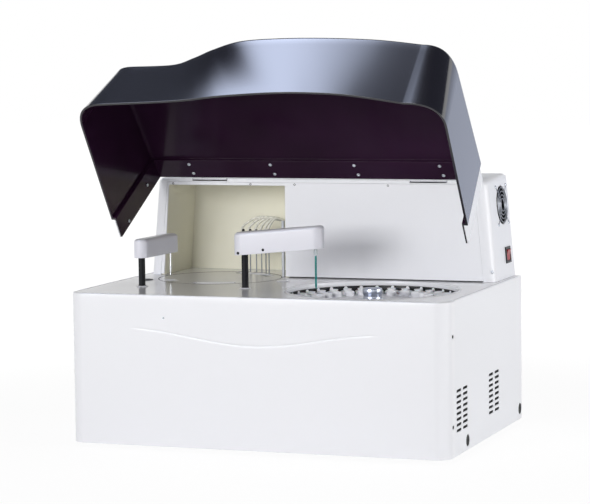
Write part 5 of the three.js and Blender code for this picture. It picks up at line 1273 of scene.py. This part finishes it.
def makeRack(values):
    # the ring is an open turned profile with rounded rims; equal sectors close its top, each a grid
    # from the sector's outline to the circle of its cup, then up over the rolled lip and down inside
    low, top, count, inner, outer = (values[key] for key in ("low", "top", "count", "inner", "outer"))
    ringProfile = [*offsetsFrom(outer, top, values["rimTop"]), *offsetsFrom(outer, low, values["rimFoot"]),
                   *offsetsFrom(inner, low, values["boreFoot"]), *offsetsFrom(inner, top, values["boreTop"])]
    steps = count * values["arcSteps"]
    ringRows = lathe(ringProfile, steps)[0].reshape(len(ringProfile), steps, 3)

    half = math.pi / count
    bow = np.linspace(-half, half, values["arcSteps"] + 1)
    spoke = np.linspace(inner, outer, values["spokeSteps"] + 1)[1:-1]
    outline = np.concatenate((
        np.column_stack((outer * np.cos(bow), outer * np.sin(bow))),
        np.column_stack((spoke * math.cos(half), spoke * math.sin(half)))[::-1],
        np.column_stack((inner * np.cos(bow), inner * np.sin(bow)))[::-1],
        np.column_stack((spoke * math.cos(half), -spoke * math.sin(half)))))
    cupAt = math.dist(well["centre"], needlePlace)
    toward = np.arctan2(outline[:, 1], outline[:, 0] - cupAt)
    cup, bore, cupTop, cupFloor = values["cup"], values["cupBore"], values["cupTop"], values["cupFloor"]
    levels = [
        *offsetsFrom(cup, top, values["cupFoot"]), *offsetsFrom(cup, cupTop, values["lip"]),
        *offsetsFrom(bore, cupTop, values["mouth"]), *offsetsFrom(bore, top, values["middle"]),
        *offsetsFrom(bore, cupFloor, values["bottom"]), (0, cupFloor)]
    rows = [np.column_stack((outline, np.full(len(outline), top)))]
    rows += [np.column_stack((
        cupAt + radius * np.cos(toward), radius * np.sin(toward), np.full(len(outline), height)))
        for radius, height in levels]
    start = bearingTo(well["centre"], needlePlace)
    shapes = [aroundCentre(ringRows, well["centre"], start, 1),
              aroundCentre(np.stack(rows), well["centre"], start, count)]
    addPiece("sample_cups", *joined(*shapes), mouldedAbs, "bottle_white", "reagent_disc", ["cup_rack"])


makeRack(rack)

knobFinish = {
    "light": "#c5cad6",
    "dark": "#a9afbd",
    "cloud": 12.5,
    "cloudDetail": 2.0,
    "rings": 0.8,
    "ringsPerScale": 20,
    "waver": 0.4,
    "waverDetail": 1.0,
    "strength": 0.5,
    "depth": 0.02,
    "roughness": 0.28,
}
knob = {
    "low": 263.3,
    "top": 287,
    "foot": 30,
    "waist": 18,
    "steps": 64,
    # offsets from the flange's edge, and from the waist's foot and top
    "flange": ((-0.8, 0), (0, 0.8), (0, 2.4), (-0.8, 3)),
    "root": ((2, 3.4),),
    "cap": ((0, -8), (0, -2), (-0.6, -0.8), (-2, -0.2), (-4, 0), (-5, -0.8), (-6, 0)),
    "neckFoot": 3.5,
    "neckHead": 9,
    "neckSteps": 12,
    "neckInset": 0.2,
    "neckDraw": 1.4,
}


def turnedAlloy(values, centre):
    # aluminium faced on a lathe: fine rings about the centre given, which fan its highlights
    made, tree = newSurface("faced_aluminium_knob")
    place = addNode(tree, "ShaderNodeTexCoord").outputs["Object"]
    back = [-value * mm for value in (*centre, 0)]
    centred = addNode(tree, "ShaderNodeMapping", {"Vector": place, "Location": back}).outputs["Vector"]
    rings = addNode(
        tree, "ShaderNodeTexWave",
        {"Vector": centred, "Scale": 1 / (values["rings"] * mm) / values["ringsPerScale"],
         "Distortion": values["waver"], "Detail": values["waverDetail"]},
        wave_type="RINGS", rings_direction="Z").outputs["Fac"]
    patches = noise(tree, place, values["cloud"], values["cloudDetail"])
    principled(
        tree, mixColours(tree, patches, linearColour(values["dark"]), linearColour(values["light"])),
        values["roughness"], bumpFrom(tree, rings, values["strength"], values["depth"]), {"Metallic": 1.0})
    return made


def makeKnob(values):
    # a flange, a waist drawn in by a sine, and a domed cap with a groove
    low, top, waist = values["low"], values["top"], values["waist"]
    share = np.linspace(0, 1, values["neckSteps"] + 1)
    foot, head = low + values["neckFoot"], top - values["neckHead"]
    neck = waist - values["neckDraw"] * np.sin(math.pi * share) - values["neckInset"]
    profile = [(0, low), *offsetsFrom(values["foot"], low, values["flange"]),
               *offsetsFrom(waist, low, values["root"]),
               *np.column_stack((neck, foot + (head - foot) * share)),
               *offsetsFrom(waist, top, values["cap"]), (0, top)]
    alloy = turnedAlloy(knobFinish, well["centre"])
    turnedPiece("rack_knob", profile, values["steps"], well["centre"], alloy, "steel", "reagent_disc",
                ["disc_knob"])


makeKnob(knob)
print("reagent disc dressed")


# Reaction disc

# painted shadow: a black ring set where the gap round the cover lies in shade
coverShadowRing = {
    "sheet": 1.4, "gap": 0.05, "below": 0.2, "above": 0.15, "footEdge": 0.2, "topEdge": 0.3, "steps": 128,
}
softened("reaction_cover_disc", deckCoat, "white_paint", "reaction_cover", bevel=0.5)


def makeCoverShadowRing(values):
    # an endless black rubber strip round the edge of the cover, which is painted shadow: it stands for the
    # shaded gap between the cover and the deck
    low, high = nodeBox("reaction_cover")
    radius = (high[0] - low[0]) / 2
    top, foot = high[2] - values["below"], deckTop + values["above"]
    inner, outer = radius + values["gap"], radius + values["sheet"]
    profile = [(inner, foot), (outer - values["footEdge"], foot), (outer, foot + values["footEdge"]),
               (outer, top - values["topEdge"]), (outer - values["topEdge"], top), (inner, top)]
    turnedPiece("reaction_cover_shadow_ring", profile, values["steps"], middleOf("reaction_cover"), nitrileRubber,
                "rubber", "cabinet", closed=True)


makeCoverShadowRing(coverShadowRing)
softened("reaction_cuvettes", clearPentene, "clear_plastic", "cuvette_ring", bevel=0.0)
print("reaction disc dressed")


# Probe and mixer

armShapes = {
    "probe": {
        "cover": "probe_cover", "body": "probe_head", "axis": probeAxis, "end": needlePlace, "tail": 19,
        "nose": 16, "width": 33, "lean": 0.09, "height": 42, "radius": 7, "wall": 2,
    },
    "mixer": {
        "cover": "mixer_cover", "body": "mixer_head", "axis": mixerAxis, "end": middleOf("mixer_paddle"),
        "tail": 14, "nose": 15, "width": 27, "lean": 0, "height": 35, "radius": 7, "wall": 2,
    },
}
armSteps = {"round": 18, "side": 23, "edge": 10}


def armCoverRows(values, inset, reach):
    # plan: two half rounds joined by straight sides; rows go up it and round over its top edge,
    # and the whole leans, z + lean x, so that it rises towards the nose
    half, radius = values["width"] / 2 - inset, values["radius"] - inset
    tail, nose = values["tail"] - inset, values["nose"] - inset
    turn = np.linspace(0, math.pi, armSteps["round"] + 1)
    side = np.linspace(0, 1, armSteps["side"] + 1)[1:-1, None]

    def halfRound(middle, start, size):
        return np.column_stack((middle + size * np.cos(turn + start), size * np.sin(turn + start)))

    def outline(extra):
        rear = halfRound(half - tail, math.pi / 2, half - extra)
        front = halfRound(reach + nose - half, -math.pi / 2, half - extra)
        return np.concatenate((
            rear, rear[-1] * (1 - side) + front[0] * side, front, front[-1] * (1 - side) + rear[0] * side))

    base = outline(0)
    rows = [np.column_stack((base, np.full(len(base), values["low"])))]
    for angle in np.linspace(0, math.pi / 2, armSteps["edge"] + 1):
        plan = outline(radius * (1 - math.cos(angle)))
        level = values["low"] + values["height"] - inset - radius * (1 - math.sin(angle))
        rows.append(np.column_stack((plan, np.full(len(plan), level))))
    leaned = np.stack(rows)
    leaned[..., 2] += values["lean"] * leaned[..., 0]
    return leaned


def makeArmCover(values):
    values["low"] = nodeBox(values["cover"])[0][2] + values["lean"] * values["tail"]
    direction = values["end"] - values["axis"]
    reach = math.hypot(*direction)
    outer, inner = armCoverRows(values, 0, reach), armCoverRows(values, values["wall"], reach)
    rows, columns = outer.shape[:2]
    size = rows * columns
    faces = gridFaces(rows, columns, closeColumns=True)
    faces += gridFaces(rows, columns, closeColumns=True, first=size)
    edge, nextEdge = np.arange(columns), np.roll(np.arange(columns), -1)
    faces += np.stack((edge, nextEdge, nextEdge + size, edge + size), axis=-1).tolist()
    top = (rows - 1) * columns + np.arange(columns)
    faces += [top.tolist(), (top + size)[::-1].tolist()]
    cosine, sine = direction / reach
    x, y, z = np.concatenate((outer.reshape(-1, 3), inner.reshape(-1, 3))).T
    turned = np.column_stack((
        values["axis"][0] + x * cosine - y * sine, values["axis"][1] + x * sine + y * cosine, z))
    addPiece(values["cover"] + "_shell", turned, faces, armAbs, "white_plastic", values["body"],
             [values["cover"]], bevel=0.5)


for armValues in armShapes.values():
    makeArmCover(armValues)
softened("probe_arm_plate", blastedCasting, "cast", "probe_arm", bevel=0.8)
softened("mixer_arm_plate", blackAnodised, "cast", "mixer_arm", bevel=0.6)


column = {
    "radius": 6.25,
    "steps": 48,
    "foot": ((-0.6, 0), (0, 0.6)),
    "head": ((0, -8), (-0.5, -7.6), (-0.5, -6.4), (0, -6), (0, -0.5), (-0.5, 0)),
}


def makeColumn(values):
    # a turned rod with a shallow groove and rounded ends
    low, high = nodeBox("probe_column")
    bottom, top, radius = low[2], high[2], values["radius"]
    profile = [(0, bottom), *offsetsFrom(radius, bottom, values["foot"]),
               *offsetsFrom(radius, top, values["head"]), (0, top)]
    turnedPiece("probe_column_rod", profile, values["steps"], probeAxis, blackAnodised, "steel", "probe_head",
                ["probe_column"])


makeColumn(column)


def makeGuide(name, centre, values):
    # the flanged bush, white, and the black lip seal pressed into its bore
    foot = nodeBox(name)[0][2]
    bore, radius, flange = values["bore"], values["radius"], values["flange"]
    seat = deckTop + values["gap"]
    top = seat + values["sheet"]
    profile = [(bore, foot), (radius, foot), (radius, seat), *offsetsFrom(flange, seat, values["flangeRim"]),
               *offsetsFrom(radius, top, values["crown"]), *offsetsFrom(bore, top, values["mouth"])]
    turnedPiece(name + "_bush", profile, values["steps"], centre, mouldedAbs, "white_plastic", "cabinet",
                [name], closed=True)
    turnedPiece(name + "_seal", offsetsFrom(bore, top, values["seal"]), values["steps"], centre,
                nitrileRubber, "rubber", "cabinet", closed=True)


makeGuide("probe_guide", probeAxis, guide)
makeGuide("mixer_guide", mixerAxis, guide)

needle = {
    "steps": 32,
    "point": ((0, 0.4), (0.48, 0), (0.8, 0.2), (1.7, 6), (1.9, 7)),  # radius, and height over the tip
    "radius": 1.9,
    "overlap": 0.5,
    "sleeve": 3.4,
    "sleeveLength": 18,
    # offsets from the sleeve's foot and head
    "sleeveFoot": ((-3.4, 0.6), (-1.7, 0.6), (-0.6, 1.4), (0, 2.2)),
    "sleeveHead": ((0, -6), (-0.5, -5.6), (-0.5, -5), (0, -4.6), (0, -0.4), (-0.4, 0), (-3.4, 0)),
}


def makeNeedle(values):
    # the coated tube with its cut tip, and above it a clear sleeve with a shallow groove near its head
    tip, top = needleLow[2], needleHigh[2]
    sleeve = top - values["sleeveLength"]
    stemTop = sleeve + values["overlap"]
    stem = [*offsetsFrom(0, tip, values["point"]), (values["radius"], stemTop), (0, stemTop)]
    turnedPiece("probe_needle_tube", stem, values["steps"], needlePlace, tealCoat, "teal_coat", "probe_head",
                ["probe_needle"])
    cap = [*offsetsFrom(values["sleeve"], sleeve, values["sleeveFoot"]),
           *offsetsFrom(values["sleeve"], top, values["sleeveHead"])]
    turnedPiece("probe_needle_sleeve", cap, values["steps"], needlePlace, clearPentene, "clear_plastic",
                "probe_head")


makeNeedle(needle)
softened("mixer_paddle_blade", brushedSteel, "steel", "mixer_paddle", bevel=0.2)

potShape = {
    "steps": 48,
    "gap": 0.3,
    # radius, and height over the foot, the seat on the deck, the top and again the foot
    "foot": ((0, 0), (8.2, 0), (9, 0.8)),
    "flange": ((9, 0), (11.6, 0), (12, 0.4)),
    "lip": ((11.6, -0.1), (10.5, 0), (8, 0), (7.3, -0.3), (7, -1)),
    "inside": ((7, 3), (5, 1.4), (0, 1.2)),
}


def makePot(name, node, material, slotName, values):
    # a rinse pot: a cup with a rolled flange on the deck
    low, high = nodeBox(node)
    profile = [*offsetsFrom(0, low[2], values["foot"]),
               *offsetsFrom(0, deckTop + values["gap"], values["flange"]),
               *offsetsFrom(0, high[2], values["lip"]), *offsetsFrom(0, low[2], values["inside"])]
    turnedPiece(name, profile, values["steps"], potCentres[node], material, slotName, "cabinet", [node])


makePot("probe_pot_cup", "probe_rinse_pot", mouldedAbs, "white_plastic", potShape)
makePot("mixer_pot_cup", "mixer_rinse_pot", grainedBlack, "black_plastic", potShape)

armScrews = {"radius": 2.6, "sink": 0.3, "least": 4, "places": ((-76.7, 345.2), (-28.6, 356.1))}


def makeArmScrews(values, arm):
    # two screws on the operator's side of the probe's cover, no lower than its edge allows
    direction = (arm["end"] - probeAxis) / probeReach
    square = np.array((direction[1], -direction[0]))
    heads = []
    for x, z in values["places"]:
        along = (x - probeAxis[0]) / direction[0]
        place = probeAxis + direction * along + square * (arm["width"] / 2 - values["sink"])
        lowest = arm["low"] + arm["lean"] * along + values["least"]
        heads.append(((*place, max(z, lowest)), (*square, 0)))
    screws("probe_cover_screws", blackAnodised, "probe_head", heads, values["radius"])


makeArmScrews(armScrews, armShapes["probe"])
print("arms dressed")


# Wash station

softened("wash_head_block", blastedCasting, "cast", "wash_head", bevel=0.3)
softened("wash_post_rod", brushedSteel, "chrome", "wash_post", bevel=0.3)
cuvettes = {"radius": 99, "pitch": 9}
washTubes = {
    "count": 6,
    "firstCuvette": 14,
    "radius": 2.3,
    "sides": 12,
    "steps": 40,
    "clip": (-72.3, 158, 386.5),
    "clipPitch": 3.2,
    "foot": 0.4,
    "straight": 1,
    "rise": 19,
    "crest": 7,
    "entry": 1,
    "collar": 3.1,
    "collarLength": 13,
    "collarSteps": 24,
    "collarGrip": 0.2,
    "collarFrom": 1,  # above the tube's lower end
    # offsets from the collar's radius at its foot and its top
    "collarFoot": ((-0.3, 0), (0, 0.3)),
    "collarTop": ((0, -4), (-0.7, -0.4), (-1, 0)),
}


def makeWashTubes(values):
    # each tube leaves its nipple upwards, leans over in a long bow and ends level in the clip: a
    # curve through five points whose slopes are half the chords of their neighbours
    clipX, clipMiddle, end = values["clip"]
    low = nodeBox("wash_tubes")[0][2] + values["foot"]
    foot, wide = low + values["collarFrom"], values["collar"]
    grip = values["radius"] - values["collarGrip"]
    top = foot + values["collarLength"]
    collar = [(grip, foot), *offsetsFrom(wide, foot, values["collarFoot"]),
              *offsetsFrom(wide, top, values["collarTop"]), (grip, top)]
    start = bearingTo(ring["centre"], probeMeets(ring["centre"], cuvettes["radius"], 1))
    collars = []
    for k in range(values["count"]):
        angle = math.radians(start + (values["firstCuvette"] + k) * cuvettes["pitch"])
        x = ring["centre"][0] + cuvettes["radius"] * math.cos(angle)
        y = ring["centre"][1] + cuvettes["radius"] * math.sin(angle)
        clipY = clipMiddle + (k - (values["count"] - 1) / 2) * values["clipPitch"]
        path = splineThrough([
            (x, y, low), (x, y, low + values["rise"]),
            ((2 * x + clipX) / 3, (2 * y + clipY) / 3, end + values["crest"]),
            ((x + 3 * clipX) / 4, clipY, end + values["entry"]), (clipX, clipY, end)], values["steps"])
        path = np.concatenate((path[:1], path[:1] + (0, 0, values["straight"]), path[1:]))
        shape = tube(path, values["radius"], values["sides"], (-(clipY - y), clipX - x, 0))
        piece = addPiece(f"wash_tube_{k + 1}", *shape, milkyTube, "clear_plastic", None,
                         ["wash_tubes"] if k == 0 else ())
        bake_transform(piece)
        collars.append(lathe(collar, values["collarSteps"], (x, y), closed=True))
    addPiece("wash_tube_collars", *joined(*collars), nitrileRubber, "rubber", "washer")


makeWashTubes(washTubes)
print("wash station dressed")


# Fan and switch on the tower's leaning side

towerSide = {"foot": 348, "top": 331, "height": 188}
lean = math.atan2(towerSide["foot"] - towerSide["top"], towerSide["height"])


def onTowerSide(points, y, height):
    # points drawn with +X outwards from the wall, leaned back with it and moved to their height
    x, along, z = np.asarray(points, float).reshape(-1, 3).T
    wall = towerSide["foot"] - (towerSide["foot"] - towerSide["top"]) * height / towerSide["height"]
    return np.column_stack((
        wall + x * math.cos(lean) - z * math.sin(lean), y + along,
        deckTop + height + x * math.sin(lean) + z * math.cos(lean)))


fan = {
    "y": 199,
    "height": 138,
    "screwAt": 35.75,
    "screwRadius": 3.4,
    "screwSeat": 0.2,
    "rings": (12, 19, 26, 33),
    "ringSteps": 64,
    "ringOut": 1.5,
    "wire": 0.8,
    "wireSides": 10,
    "spokes": (45, 135, 225, 315),
    "spokeSteps": 11,
    "spokeOut": 1.2,
    "spokeWire": 0.64,
    "spokeInset": 2,
}
impeller = {
    "low": -27.7,
    "high": -7.3,
    "hub": 16,
    "hubSteps": 48,
    # offsets from the hub's radius behind and in front
    "hubFoot": ((-1, 0), (0, 1)),
    "hubHead": ((0, -1.5), (-0.6, -0.5), (-1.6, 0)),
    "blades": 7,
    "root": 15.36,
    "tip": 34.5,
    "steps": (12, 11),
    "twist": (42, -18),  # degrees at the root, and what the tip adds; the same for the chord
    "chord": (8.2, 1.6),
    "camber": 1.6,
    "thickness": (0.8, 0.12),
}


def addFanPiece(name, shapes, *saying):
    points, faces = joined(*shapes)
    addPiece(name, onTowerSide(points, fan["y"], fan["height"]), faces, *saying)


def makeFanGuard(values):
    # wire rings, each a circle carried round a circle, on four spokes
    wire, sides, steps = values["wire"], values["wireSides"], values["ringSteps"]
    shapes = []
    around = np.linspace(0, 2 * math.pi, steps, endpoint=False)[:, None]
    section = np.linspace(0, 2 * math.pi, sides, endpoint=False)[None, :]
    for radius in values["rings"]:
        r = radius + wire * np.cos(section)
        out = values["ringOut"] + wire * np.sin(section) + 0 * around
        points = np.stack((out, r * np.cos(around), r * np.sin(around)), axis=-1)
        shapes.append((points.reshape(-1, 3), gridFaces(steps, sides, closeRows=True, closeColumns=True)))
    reach = np.linspace(
        values["rings"][0] - values["spokeInset"], values["screwAt"] * math.sqrt(2), values["spokeSteps"] + 1)
    for angle in np.radians(values["spokes"]):
        out = np.full(len(reach), values["spokeOut"])
        path = np.column_stack((out, reach * math.cos(angle), reach * math.sin(angle)))
        shapes.append(tube(path, values["spokeWire"], sides, (1, 0, 0)))
    addFanPiece("fan_guard_wires", shapes, dullZinc, "chrome", "cabinet", ["fan_guard"])


def makeFanRotor(values):
    # a cup with seven blades, each twisted from its root to its tip and cambered by a parabola
    low, high, hub = values["low"], values["high"], values["hub"]
    profile = [(0, low), *offsetsFrom(hub, low, values["hubFoot"]),
               *offsetsFrom(hub, high, values["hubHead"]), (0, high)]
    points, faces = lathe(profile, values["hubSteps"])
    shapes = [(points[:, [2, 0, 1]], faces)]
    rows, columns = values["steps"]
    u, v = np.meshgrid(np.linspace(-1, 1, rows + 1), np.linspace(0, 1, columns + 1), indexing="ij")
    radius = values["root"] + (values["tip"] - values["root"]) * v
    twist = np.radians(values["twist"][0] + values["twist"][1] * v)
    chord = values["chord"][0] + values["chord"][1] * v
    thickness = values["thickness"][0] * np.sqrt(np.clip(1 - u ** 2, 0, 1)) + values["thickness"][1]
    for k in range(values["blades"]):
        turn = 2 * math.pi * k / values["blades"]
        sheets = []
        for side in (1, -1):
            across = values["camber"] * (1 - u ** 2) + side * thickness
            axial = (low + high) / 2 + u * chord * np.cos(twist) - across * np.sin(twist)
            angle = turn + (u * chord * np.sin(twist) + across * np.cos(twist)) / radius
            sheets.append(np.stack((axial, radius * np.cos(angle), radius * np.sin(angle)), axis=-1))
        shapes.append(closedSheets(*sheets))
    addFanPiece("fan_impeller", shapes, grainedBlack, "black_plastic", "fan", ["fan_rotor"])


makeFanGuard(fan)
makeFanRotor(impeller)
softened("fan_housing", grainedBlack, "black_plastic", "fan_frame", bevel=0.5)
outward = (math.cos(lean), 0, math.sin(lean))
fanCorners = [(fan["screwSeat"], a * fan["screwAt"], b * fan["screwAt"]) for a in (-1, 1) for b in (-1, 1)]
screws(
    "fan_screws", chromePlate, "cabinet",
    [(place, outward) for place in onTowerSide(fanCorners, fan["y"], fan["height"])], fan["screwRadius"])
softened("switch_surround", grainedBlack, "black_plastic", "switch_bezel", bevel=0.6)
softened("switch_rocker_cap", redPolycarbonate, "red_plastic", "rocker", bevel=0.6)
screws(
    "hood_side_screw", brushedSteel, "cabinet", [(towerScrews["sidePlace"], towerScrews["sideAim"])],
    towerScrews["sideRadius"])
print("fan and switch dressed")


# Floor and light: places, sizes and heights in metres, power in watts

studio = {
    "floor": "#f4f4f5",
    "floorHalf": 15,
    "floorWhite": (0.88, 1.0),
    "floorFade": (0.7, 1.8),  # distances between which the floor turns to plain white
    "floorGlow": 1.05,
    "ambient": 0.18,
    # power, side, place and aim
    "lights": {
        "key_softbox": (226, 2.6, (-1.6, -7.2, 1.9), (0, 0, 0.35)),
        "left_softbox": (84, 1.6, (-3.3, -6.7, 1.35), (0, 0, 0.35)),
        "fill_softbox": (12, 3.0, (3.6, -6.2, 1.6), (0, 0, 0.35)),
        "right_softbox": (186, 3.0, (6.0, 0.5, 1.5), (0, 0, 0.3)),
        "high_softbox": (30, 2.5, (0.0, 0.8, 5.5), (0, 0, 0.3)),
    },
}
# a cool grey wall far behind on the right, and a dim ceiling with one bright bay: only gloss sees them
farWall = {"place": (2.0, 6.0, 1.21), "half": 1.2, "colour": (0.6, 0.65, 0.8, 1.0)}
ceiling = {
    "place": (0, 0, 4.0), "half": 8.0, "colour": (0.69, 0.77, 1.0, 1.0), "dim": 0.12, "peak": 9.5,
    "bayX": -1.3, "bayHalf": (0.9, 0.84), "bayEnd": (1.6, 2.4),
}


def stageSheet(name, half, middle, standing=False):
    # a square sheet, lying, or standing across Y, with its own glow or paper
    x, y, z = middle
    corners = [(x + half * a, y, z + half * b) if standing else (x + half * a, y + half * b, z)
               for a, b in ((-1, -1), (1, -1), (1, 1), (-1, 1))]
    mesh = bpy.data.meshes.new(name)
    mesh.from_pydata(corners, [], [[0, 1, 2, 3]])
    sheet = bpy.data.objects.new(name, mesh)
    bpy.context.scene.collection.objects.link(sheet)
    made, tree = newSurface(name + "_surface")
    mesh.materials.append(made)
    return sheet, tree


def glowOf(tree, colour, strength):
    return addNode(tree, "ShaderNodeEmission", {"Color": colour, "Strength": strength}).outputs[0]


def onlyGlossSees(sheet, tree, colour, strength):
    sheet.visible_camera = sheet.visible_diffuse = sheet.visible_transmission = sheet.visible_shadow = False
    addNode(tree, "ShaderNodeOutputMaterial", {"Surface": glowOf(tree, colour, strength)})


def seenDirectly(tree):
    # 1 for what the camera, gloss or clear plastic sees, 0 for what lights the scene
    rays = addNode(tree, "ShaderNodeLightPath").outputs
    seen = calculate(tree, "MAXIMUM", rays["Is Camera Ray"], rays["Is Glossy Ray"])
    return calculate(tree, "MAXIMUM", seen, rays["Is Transmission Ray"])


def makeFloor(values):
    # seen directly the floor is white paper with a faint shadow
    tree = stageSheet("floor", values["floorHalf"], (0, 0, 0))[1]
    place = addNode(tree, "ShaderNodeTexCoord").outputs["Object"]
    far = addNode(tree, "ShaderNodeVectorMath", {0: place}, operation="LENGTH").outputs["Value"]
    white = mapRange(
        tree, far, *values["floorWhite"], *values["floorFade"], interpolation_type="SMOOTHSTEP")
    share = calculate(tree, "MULTIPLY", seenDirectly(tree), white)
    paper = addNode(tree, "ShaderNodeBsdfDiffuse", {"Color": linearColour(values["floor"])}).outputs[0]
    glow = glowOf(tree, (1, 1, 1, 1), values["floorGlow"])
    mixed = addNode(tree, "ShaderNodeMixShader", {0: share, 1: paper, 2: glow}).outputs[0]
    addNode(tree, "ShaderNodeOutputMaterial", {"Surface": mixed})


def makeCeiling(values):
    # brightness = dim + peak exp(-((x - bay) / half)^2), which ends softly towards the back
    sheet, tree = stageSheet("ceiling", values["half"], values["place"])
    place = addNode(tree, "ShaderNodeTexCoord").outputs["Object"]
    axes = addNode(tree, "ShaderNodeSeparateXYZ", {"Vector": place}).outputs
    off = calculate(tree, "SUBTRACT", axes["X"], values["bayX"])
    half = mapRange(tree, calculate(tree, "GREATER_THAN", off, 0.0), *values["bayHalf"])
    scaled = calculate(tree, "DIVIDE", off, half)
    bell = calculate(tree, "POWER", math.exp(-1), calculate(tree, "MULTIPLY", scaled, scaled))
    ended = mapRange(
        tree, axes["Y"], values["peak"], 0.0, *values["bayEnd"], interpolation_type="SMOOTHSTEP")
    strength = calculate(tree, "MULTIPLY_ADD", bell, ended, values["dim"])
    onlyGlossSees(sheet, tree, values["colour"], strength)


def makeWorld(values):
    # seen directly the room is white; as light it is dimmer
    world = bpy.data.worlds.new("studio")
    world.use_nodes = True
    tree = world.node_tree
    tree.nodes.clear()
    strength = mapRange(tree, seenDirectly(tree), values["ambient"], 1.0)
    light = addNode(tree, "ShaderNodeBackground", {"Color": (1, 1, 1, 1), "Strength": strength}).outputs[0]
    addNode(tree, "ShaderNodeOutputWorld", {"Surface": light})
    bpy.context.scene.world = world


def areaLight(name, power, size, place, aim):
    light = bpy.data.lights.new(name, "AREA")
    light.energy = power
    light.size = size
    lamp = bpy.data.objects.new(name, light)
    bpy.context.scene.collection.objects.link(lamp)
    lamp.location = place
    lamp.rotation_euler = (Vector(aim) - Vector(place)).to_track_quat("-Z", "Y").to_euler()


makeFloor(studio)
wallSheet = stageSheet("far_wall", farWall["half"], farWall["place"], standing=True)
onlyGlossSees(*wallSheet, farWall["colour"], 1.0)
makeCeiling(ceiling)
makeWorld(studio)
for lightName, lightValues in studio["lights"].items():
    areaLight(lightName, *lightValues)
bpy.context.scene.view_settings.view_transform = "Standard"
print("studio set")
